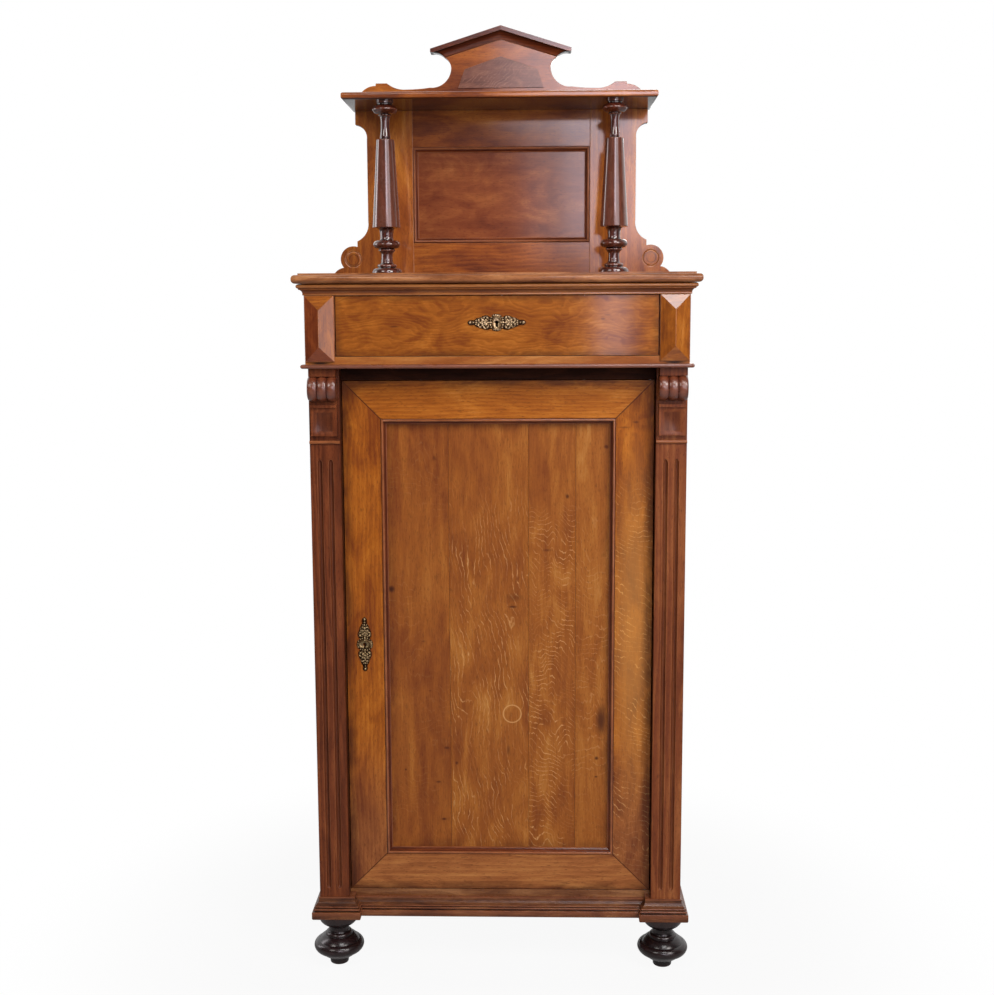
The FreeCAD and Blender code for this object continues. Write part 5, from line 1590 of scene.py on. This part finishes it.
        # the rails too darken and dull towards the bottom: painted shade
        dress("door_rails", GOLDEN, Grain.ACROSS, 6.6, 1.8,
              Figure(ring=7.0, pith=(540.0, 70.0), rings=0.12, clouds=0.7, warp=13.0,
                     cloud_size=(40.0, 150.0), shift=0.14, edges=door, mitre_line=self.mitre_line,
                     # a dark patch in the top left corner: painted shadow under the drawer section
                     sallow=(230.0, 520.0), marks=(Mark(-292.0, 1166.0, 46.0, 1.2, 0.6),)),
              edge=Edge.GRIMY_AND_SHADED)
        self.panel()
        low, high = span("door_panel")
        moulding = PanelMoulding(high[0], low[2], high[2], low[1], self.moulding_width,
                                 self.moulding_height)
        wood = replace(DARK, coat=0.9, coat_roughness=0.14).lay("door_moulding", 9.1)
        Piece("door_moulding_run", "door", "dark_moulding", [moulding.shell()], [wood],
              ("door_moulding",)).build()


# The door panel's boards: warm brown oak whose rays wander over the face.
PANEL = Wood(
    "panel_oak",
    stops=((0.10, "663113"), (0.34, "7d4319"), (0.52, "8c501d"), (0.70, "9c6026"), (0.92, "ae783a")),
    pore="3f1d0d", ray="c08f56", worn="bd8450", grime_and_shade="35180c", pore_depth=0.42)

# The drawer front's wood: a flat-sawn, swirling figure under a brighter polish.
DRAWER_WOOD = Wood(
    "drawer_oak",
    stops=((0.10, "5d2b0c"), (0.34, "7a3e0f"), (0.52, "8e4f13"), (0.70, "a2601d"), (0.92, "b87832")),
    pore="4a200c", ray="c6955a", worn="bd8450", grime_and_shade="35180c", roughness=0.5, specular=0.06,
    coat=1.0, coat_roughness=0.09, pore_depth=0.3, bump=0.05)


@dataclass
class Drawer:
    """The drawer: a figured front and a dovetailed softwood box; its lock is dressed with the ironwork.
    """

    def build(self) -> None:
        """Dress the drawer's boards."""
        # the front darkens near its edges and on its softened edges: dust, and painted shade from the
        # parts around it
        dress("drawer_front", DRAWER_WOOD, Grain.ACROSS, 2.6, 1.4,
              Figure(ring=6.0, pith=(-60.0, 40.0), rings=0.13, tones=0.10, clouds=0.9, fibres=0.17,
                     warp=34.0, warp_size=(50.0, 110.0), cloud_size=(45.0, 90.0),
                     edges=(-298.0, 1222.0, 298.0, 1332.0), dirt_and_shade=0.6, dirt_and_shade_reach=16.0, marks=(
                         Mark(-190.0, 1276.0, 15.0, 6.0, 0.85, 6.0),
                         Mark(196.0, 1289.0, 7.0, 2.6, 0.7, 7.0), Mark(204.0, 1296.0, 9.0, 4.0, 0.5),
                         Mark(121.0, 1313.0, 4.0, 1.5, 0.4, 4.0))), edge=Edge.GRIMY_AND_SHADED)
        for node, grain, seed in (("drawer_sides", Grain.DEEP, 1.5), ("drawer_back", Grain.ACROSS, 2.5),
                                  ("drawer_bottom", Grain.ACROSS, 3.5)):
            dress(node, PINE, grain, seed)


@dataclass
class Escutcheon:
    """Cast brass plate: an oval boss round the keyhole among scrolls and beads."""

    long: float = 54.0
    wide: float = 16.0
    hole: float = 3.05
    slot: float = 1.5
    drop: float = 8.0
    plate: float = 1.5

    def rim(self, lying: bool, count: int = 240) -> np.ndarray:
        """Draw the outer edge: a boss between two leaves, each ending in a small knob.

        The half width follows the places below along the plate's length, with small scallops.

        Args:
            lying: whether the plate lies on its side.
            count: points round the edge.

        Returns:
            Points (across, up), starting straight below the keyhole.
        """
        turn = np.linspace(0, 2 * np.pi, count + 1)[:-1]
        across, up = -np.sin(turn), -np.cos(turn)
        along = across if lying else up
        other = up if lying else across
        places = (0, 5, 8.5, 10.5, 12.5, 18, 24, 29, 33, 38, 41, 44, 47, 50, 52.5, 54)
        widths = (16, 15.2, 12.6, 9.6, 10.6, 13.2, 12.4, 10.2, 8.6, 7.4, 5.0, 3.6, 4.6, 4.4, 2.8, 0)
        reach = np.abs(along) * self.long
        width = np.interp(reach, places, widths) * (1 + 0.05 * np.cos(1.9 * reach) * (reach > 10))
        edge = np.clip(np.sign(other) * width, -self.wide, self.wide)
        return np.stack((self.long * along, edge) if lying else (edge, self.long * along), -1)

    def keyhole(self, count: int = 240) -> np.ndarray:
        """Draw the round hole with a slot below it, point for point with the rim."""
        turn = np.linspace(0, 2 * np.pi, count + 1)[:-1]
        circle = self.hole * np.stack((-np.sin(turn), -np.cos(turn)), -1)
        slot = np.abs(turn - np.pi) > np.pi - 0.75
        share = (np.pi - np.abs(turn - np.pi)) / 0.75
        low = np.stack((-np.sign(np.sin(turn)) * self.slot * np.clip(share * 2.2, 0, 1),
                        -self.drop + (self.drop - self.hole * math.cos(0.75)) * np.clip(
                            (share - 0.45) / 0.55, 0, 1)), -1)
        return np.where(slot[:, None], low, circle)

    def height(self, across: np.ndarray, up: np.ndarray) -> np.ndarray:
        """Raise the cast relief: the largest of a ringed boss, beads and C-scrolls at each place.

        A bead is h sqrt(1 - (d / r)^2). A scroll is h exp(-((d - R) / w)^2), a ring of radius R
        round its own centre.

        Args:
            across: distance from the middle line.
            up: distance above the keyhole's middle.

        Returns:
            The relief's height in millimetres.
        """
        wide, tall = np.abs(across), np.abs(up)
        ring = np.hypot(wide / 11.5, tall / 7.6)
        boss = 2.2 * np.exp(-((ring - 1) / 0.16) ** 2) + 1.2 * (ring < 1)
        beads = ((13.6, 2.0, 1.6, 1.6), (12.8, 5.6, 1.6, 1.5), (0.0, 11.6, 2.4, 2.2),
                 (4.6, 11.4, 1.8, 1.6), (8.6, 10.2, 1.6, 1.5), (0.0, 16.4, 2.0, 1.6),
                 (8.8, 17.4, 2.3, 1.9), (4.4, 20.0, 2.4, 2.1), (9.2, 23.2, 2.0, 1.7),
                 (0.0, 23.2, 2.2, 1.8), (4.6, 27.2, 2.1, 1.8), (0.0, 31.0, 2.4, 2.1),
                 (4.2, 33.4, 1.9, 1.6), (0.0, 38.0, 1.9, 1.8), (3.4, 38.2, 1.5, 1.3),
                 (0.0, 43.4, 1.5, 1.5), (0.0, 49.4, 2.8, 2.2))
        place = np.array(beads)
        away = np.hypot(wide[..., None] - place[:, 0], tall[..., None] - place[:, 1]) / place[:, 2]
        round_beads = (place[:, 3] * np.sqrt(np.clip(1 - away ** 2, 0, 1))).max(-1)
        rings = np.array(((6.6, 20.2, 4.6), (4.2, 30.4, 4.0), (0.0, 23.2, 3.6)))
        off = np.hypot(wide[..., None] - rings[:, 0], tall[..., None] - rings[:, 1]) - rings[:, 2]
        scrolls = (1.7 * np.exp(-(off / 0.75) ** 2)).max(-1)
        return np.maximum.reduce((boss, round_beads, scrolls))

    def shell(self, place: Sequence[float], lying: bool) -> Shell:
        """Stretch rings from the keyhole out to the rim and raise the relief on them.

        Point = (1 - t) keyhole + t rim, its height the plate's plus the relief's, falling to a thin
        edge as t nears 1.

        Args:
            place: the keyhole's middle on the wood's face.
            lying: whether the plate lies on its side.

        Returns:
            The closed skin.
        """
        outer, inner = self.rim(lying), self.keyhole()
        share = 1 - (1 - np.linspace(0, 1, 44)) ** 1.15
        flat = (1 - share[:, None, None]) * inner + share[:, None, None] * outer
        flat = np.concatenate((flat, flat[:, :1]), axis=1)
        across, up = flat[..., 0], flat[..., 1]
        relief = self.height(up, across) if lying else self.height(across, up)
        relief = relief * np.clip((1 - share[:, None]) / 0.05, 0.35, 1)
        relief = relief * np.clip(share[:, None] / 0.04, 0.4, 1)
        top = np.stack((place[0] + across, place[1] - self.plate - relief, place[2] + up), -1)
        base = np.stack((place[0] + across, np.full_like(across, place[1]), place[2] + up), -1)
        worn = np.clip(relief / 1.1 - 0.45, -1, 1)
        shell = Shell()
        shell.sheet(top, wear=worn)
        shell.sheet(base)
        for row in (0, -1):
            shell.sheet(np.stack((top[row], base[row])), wear=0.0)
        return shell

    def build(self) -> None:
        """Make the door's upright plate and the drawer's lying one."""
        for node, body, lying in (("door_escutcheon", "door", False),
                                  ("drawer_escutcheon", "drawer", True)):
            low, high = span(node)
            middle = (low + high) / 2
            shell = self.shell((middle[0], high[1], middle[2]), lying)
            # painted shade: the door's plate is a darker, duller copy of the brass, as it hangs in
            # shade
            brass = BRASS if lying else replace(BRASS, body="4a3926", crest="96805d")
            Piece(node + "_cast", body, "aged_brass", [shell], [brass.lay(node)], (node,),
                  crease=60.0).build()


@dataclass
class Gallery:
    """The gallery: a framed back between shaped stiles, a shelf and two columns."""

    column_x: float = 231.5
    column_y: float = 76.0
    base: float = 1374.0
    height: float = 350.0

    def column_outline(self) -> np.ndarray:
        """Draw half a column from the top board up: base, rings, tapered shaft and cap."""
        return trace((
            (0, 0), (24.6, 0), (25.6, 17.6, 0.62), (19.0, 18.6), (18.4, 19.6, -0.5),
            (17.8, 25.8, 0.55), (14.2, 26.6), (12.2, 33.0, -0.25), (11.4, 44.0, -0.06),
            (14.6, 51.0, -0.25), (15.2, 51.8), (15.4, 56.8, 0.75), (17.6, 57.4),
            (27.0, 63.4, 0.36), (27.0, 68.2, 0.30), (18.6, 74.0, 0.36), (14.2, 75.0),
            (13.2, 85.0, -0.16), (14.4, 94.0, -0.12), (21.0, 98.6, -0.30), (26.6, 99.4),
            (28.0, 100.8, 0.4), (17.8, 272.6), (16.4, 274.8, 0.35), (10.4, 275.6), (9.9, 276.8, -0.6),
            (10.6, 279.2), (8.6, 307.0, -0.05), (10.2, 320.0, -0.08), (11.8, 320.6),
            (12.0, 323.4, 0.7), (14.0, 324.0), (24.2, 331.4, 0.25), (24.4, 335.2, 0.45),
            (17.6, 341.4, 0.22), (14.6, 342.2), (14.6, 345.0, -0.2), (17.0, 346.0), (17.0, 350.0),
            (0, 350)))

    def columns(self) -> None:
        """Make the two turned columns."""
        outline = self.column_outline()
        for side, sign in (("left", -1.0), ("right", 1.0)):
            wood = TURNED.lay(f"column_{side}", 6.0 + sign)
            Piece(f"column_{side}_turning", "case", "turned_hardwood",
                  [turned(outline, (sign * self.column_x, self.column_y, self.base), sides=112)],
                  [wood], (f"column_{side}",)).build()

    def build(self) -> None:
        """Dress the gallery's boards and make its moulding and columns."""
        for side, sign, seed in (("left", -1.0, 4.6), ("right", 1.0, 6.9)):
            # painted shade: a dark winding line for the groove of the carved spiral
            hook = Ring(sign * 317.5, 1416.0, 11.0, 1.5, 0.55, sign * 6.0, pale=False)
            dress(f"gallery_stile_{side}", GALLERY_WOOD, Grain.UPRIGHT, seed, 0.8,
                  Figure(ring=9.0, pith=(30.0, 50.0), clouds=0.85, warp=20.0, round_marks=(hook,)))
        dress("gallery_rails", GALLERY_WOOD, Grain.ACROSS, 7.9, 0.6,
              Figure(ring=9.0, pith=(-120.0, 60.0), rings=0.10, clouds=0.9, shift=-0.06))
        dress("gallery_panel", GALLERY_PANEL, Grain.ACROSS, 1.9, 0.6,
              Figure(ring=16.0, pith=(20.0, 60.0), rings=0.08, clouds=0.95, warp=40.0,
                     cloud_size=(45.0, 90.0)))
        dress("gallery_shelf", GALLERY_WOOD, Grain.ACROSS, 8.9, 0.4,
              Figure(ring=9.0, pith=(30.0, 50.0), warp=20.0, shift=-0.16))
        low, high = span("gallery_panel")
        moulding = PanelMoulding(high[0], low[2], high[2], low[1], 11.0, 10.2)
        Piece("gallery_moulding_run", "case", "dark_moulding", [moulding.shell()],
              [DARK.lay("gallery_moulding", 3.3)], ("gallery_moulding",)).build()
        self.columns()


# The gallery's frame: oak stained between the door's honey and the plinth's red.
GALLERY_WOOD = Wood(
    "gallery_oak",
    stops=((0.12, "5f2a0d"), (0.34, "824113"), (0.52, "9b551a"), (0.70, "b16a23"), (0.92, "c5843a")),
    pore="38180a", ray="b98650", worn="bf8a5e", grime_and_shade="2c120a", specular=0.10,
    # undersides darkened, such as the shelf's: painted shade
    coat=1.0, coat_roughness=0.10, under=0.9, figure=Figure(ring=9.0, pith=(30.0, 50.0), warp=20.0))

# The gallery's panel: redder, with broad clouds of tone.
GALLERY_PANEL = Wood(
    "gallery_panel_oak",
    stops=((0.12, "5e280f"), (0.34, "713617"), (0.52, "7f411e"), (0.70, "8f5126"), (0.92, "a86a38")),
    pore="38180a", ray="b98650", worn="bf8a5e", grime_and_shade="2c120a", specular=0.08,
    coat=1.0, coat_roughness=0.10)


@dataclass
class Crest:
    """The crest: a shaped board with a raking cornice over a five-sided plaque."""

    def build(self) -> None:
        """Dress the crest's three pieces."""
        dress("crest_board", GALLERY_WOOD, Grain.ACROSS, 5.7, 0.8,
              Figure(ring=14.0, pith=(30.0, 50.0), rings=0.06, warp=20.0, shift=-0.14))
        # its undersides darken strongly: painted shadow under the raking moulding
        dress("crest_cornice", replace(DARK, coat=1.0, coat_roughness=0.16, under=0.95), Grain.ACROSS,
              1.7, 0.4, Figure(ring=5.0, rings=0.14, clouds=0.7, warp=10.0, shift=-0.16))
        dress("crest_plaque", PLAQUE, Grain.ACROSS, 9.7, 0.5,
              Figure(ring=9.0, clouds=0.6, warp=12.0, cloud_size=(20.0, 34.0), rays=0.5,
                     ray_gap=(9.0, 9.0), ray_bend=1.6, ray_size=(30.0, 30.0), ray_width=0.25))


# The plaque: a rosy burr veneer under the raking cornice.
PLAQUE = Wood(
    "plaque_veneer",
    stops=((0.12, "44261a"), (0.34, "5b3527"), (0.52, "6b4131"), (0.70, "7b4f3c"), (0.92, "90634d")),
    pore="432a1e", ray="9a6d58", worn="b48068", grime_and_shade="2c120a", specular=0.10, coat=0.8,
    coat_roughness=0.14)


@dataclass
class Ironwork:
    """Locks, bolts, keepers and pivots."""

    nodes: tuple[str, ...] = ("door_lock", "door_bolt", "door_pivots", "drawer_lock", "drawer_bolt",
                              "keepers")

    def build(self) -> None:
        """Dress each piece in oiled steel with a small softened edge."""
        for node in self.nodes:
            keep(node, [STEEL.lay(node)], 0.4, False)


@dataclass
class Studio:
    """The photograph's camera, a pale floor, and soft boxes."""

    eye: tuple[float, float, float] = (0.0667, -2.7098, 1.2992)
    yaw: float = -0.027
    pitch: float = -0.1359
    roll: float = -0.0044
    lens: float = 48.65

    def camera(self) -> None:
        """Set the camera where the vanishing lines put it.

        Forward is (sin yaw cos pitch, cos yaw cos pitch, sin pitch), and the other two axes turn
        about it by the roll.
        """
        data = bpy.data.cameras.new("photo_camera")
        data.lens, data.sensor_width = self.lens, 36.0
        data.clip_start, data.clip_end = 0.05, 60.0
        ahead = np.array((math.sin(self.yaw) * math.cos(self.pitch),
                          math.cos(self.yaw) * math.cos(self.pitch), math.sin(self.pitch)))
        level = np.array((math.cos(self.yaw), -math.sin(self.yaw), 0.0))
        above = np.cross(level, ahead)
        right = math.cos(self.roll) * level + math.sin(self.roll) * above
        up = -math.sin(self.roll) * level + math.cos(self.roll) * above
        matrix = np.eye(4)
        matrix[:3, 0], matrix[:3, 1], matrix[:3, 2], matrix[:3, 3] = right, up, -ahead, self.eye
        camera = put("photo_camera", data)
        camera.matrix_world = Matrix(matrix.tolist())
        bpy.context.scene.camera = camera

    def lamp(self, name: str, place: Sequence[float], target: Sequence[float],
             size: tuple[float, float], power: float, colour: str = "ffffff") -> None:
        """Hang one soft box.

        Args:
            name: the lamp's name.
            place: where it hangs, in metres.
            target: what it faces.
            size: its width and height.
            power: its power in watts.
            colour: its light.
        """
        data = bpy.data.lights.new(name, "AREA")
        data.shape, data.size, data.size_y = "RECTANGLE", size[0], size[1]
        data.energy = power
        data.color = linear(colour)[:3]
        lamp = put(name, data)
        back = np.array(place, float) - np.array(target, float)
        back /= np.linalg.norm(back)
        side = np.cross((0, 0, 1), back)
        side /= np.linalg.norm(side)
        matrix = np.eye(4)
        matrix[:3, 0], matrix[:3, 1], matrix[:3, 2] = side, np.cross(back, side), back
        matrix[:3, 3] = place
        lamp.matrix_world = Matrix(matrix.tolist())

    def world(self) -> None:
        """Light the room softly, and show it white behind the object and in its polish."""
        world = bpy.data.worlds.new("studio")
        recipe = Recipe(world)
        add = recipe.add
        straight, glossy = recipe.seen()
        way = add("TexCoord", result="Generated")
        ahead = add("SeparateXYZ", None, {0: way}, "Y")
        # the backdrop stands behind the cupboard; before it the room is dim, so polish stays deep
        backdrop = add("MapRange", {"interpolation_type": "SMOOTHSTEP", "From Min": -0.25,
                                    "From Max": 0.35, "To Min": 0.0}, {"Value": ahead})
        shine = add("Math", {"operation": "MULTIPLY"}, {0: glossy, 1: backdrop})
        seen = add("Math", {"operation": "MAXIMUM"}, {0: straight, 1: shine})
        soft = add("Background", {"Color": (0.95, 0.97, 1.0, 1.0), "Strength": 0.09})
        white = add("Background", {"Color": (1.0, 1.0, 1.0, 1.0), "Strength": 1.0})
        both = add("MixShader", None, {0: seen, 1: soft, 2: white})
        add("OutputWorld", None, {"Surface": both})
        bpy.context.scene.world = world

    def floor(self) -> None:
        """Lay a pale floor that keeps the cupboard's soft shadow close to its feet."""
        mesh = bpy.data.meshes.new("floor")
        mesh.from_pydata([(-12, -12, 0), (12, -12, 0), (12, 12, 0), (-12, 12, 0)], [], [(0, 1, 2, 3)])
        floor = put("studio_floor", mesh)
        recipe = Recipe(bpy.data.materials.new("pale_studio_floor"))
        add = recipe.add
        straight, glossy = recipe.seen()
        polish = add("Math", {"operation": "MULTIPLY", 1: 0.16}, {0: glossy})
        seen = add("Math", {"operation": "MAXIMUM"}, {0: straight, 1: polish})
        place = add("TexCoord", result="Object")
        away = add("VectorMath", {"operation": "LENGTH"}, {0: place}, "Value")
        # the shadow fades out between 0.5 and 1.1 m from the middle
        fade = add("MapRange", {"interpolation_type": "SMOOTHSTEP", "From Min": 0.5, "From Max": 1.1,
                                "To Min": 0.93, "To Max": 1.0}, {"Value": away})
        glow = add("Math", {"operation": "MULTIPLY"}, {0: seen, 1: fade})
        paint = add("BsdfDiffuse", {"Color": (0.42, 0.42, 0.42, 1.0)})
        white = add("Emission", {"Color": (1.0, 1.0, 1.0, 1.0), "Strength": 1.0})
        add("OutputMaterial", None, {"Surface": add("MixShader", None, {0: glow, 1: paint, 2: white})})
        mesh.materials.append(recipe.owner)

    def build(self) -> None:
        """Set up the camera, the lamps, the world and the floor."""
        scene = bpy.context.scene
        scene.view_settings.view_transform = "Standard"
        self.camera()
        self.world()
        self.floor()
        self.lamp("box_front_left", (-1.9, -2.9, 3.2), (0, 0, 0.95), (1.3, 1.3), 40, "fffaf4")
        self.lamp("box_front_right", (2.2, -2.6, 3.1), (0, 0, 0.95), (1.2, 1.3), 72, "fff8f4")
        self.lamp("box_above", (0.72, -2.2, 3.7), (0, -0.2, 1.0), (1.1, 0.9), 34, "ffffff")
        self.lamp("strip_left", (-2.6, 0.35, 1.6), (0.0, 0.0, 1.4), (0.6, 1.9), 18, "f8f0f4")
        self.lamp("window_right", (1.9, -2.6, 1.5), (0.0, -0.2, 1.35), (1.1, 1.9), 18, "f6ecf2")
        self.lamp("window_rear_right", (1.6, -4.6, 1.6), (0.0, -0.2, 1.3), (1.2, 1.9), 22, "f6ecf4")
        self.lamp("window_rear_low", (0.50, -5.0, 1.34), (0.2, -0.2, 1.2), (0.18, 0.6), 1.4, "efe6fa")
        self.lamp("window_rear_high", (0.70, -5.0, 2.5), (0.1, -0.2, 1.6), (0.9, 1.6), 20, "f0e8fa")
        self.lamp("curtain_rear_high", (0.75, -5.1, 2.6), (0.1, -0.2, 1.6), (1.5, 2.0), 22, "f4e6ec")
        self.lamp("box_rear", (0.9, 3.4, 2.7), (0.0, 0.2, 1.0), (1.4, 1.4), 26, "fffaf4")
        self.lamp("skylight_rear", (0.33, -5.1, 2.92), (0.0, -0.2, 1.8), (0.95, 1.0), 14, "f4e6f0")


def main() -> None:
    """Build the cupboard's sub-assemblies in order, then the studio."""
    logging.basicConfig(level=logging.INFO, format="%(name)s: %(message)s")
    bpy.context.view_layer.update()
    for part in (Studio(), Feet(), Plinth(), Case(), Pilasters(), Corbels(), DrawerSection(), Cornice(),
                 Door(), Drawer(), Escutcheon(), Gallery(), Crest(), Ironwork()):
        log.info("building %s", type(part).__name__)
        part.build()


if __name__ == "__main__":
    main()
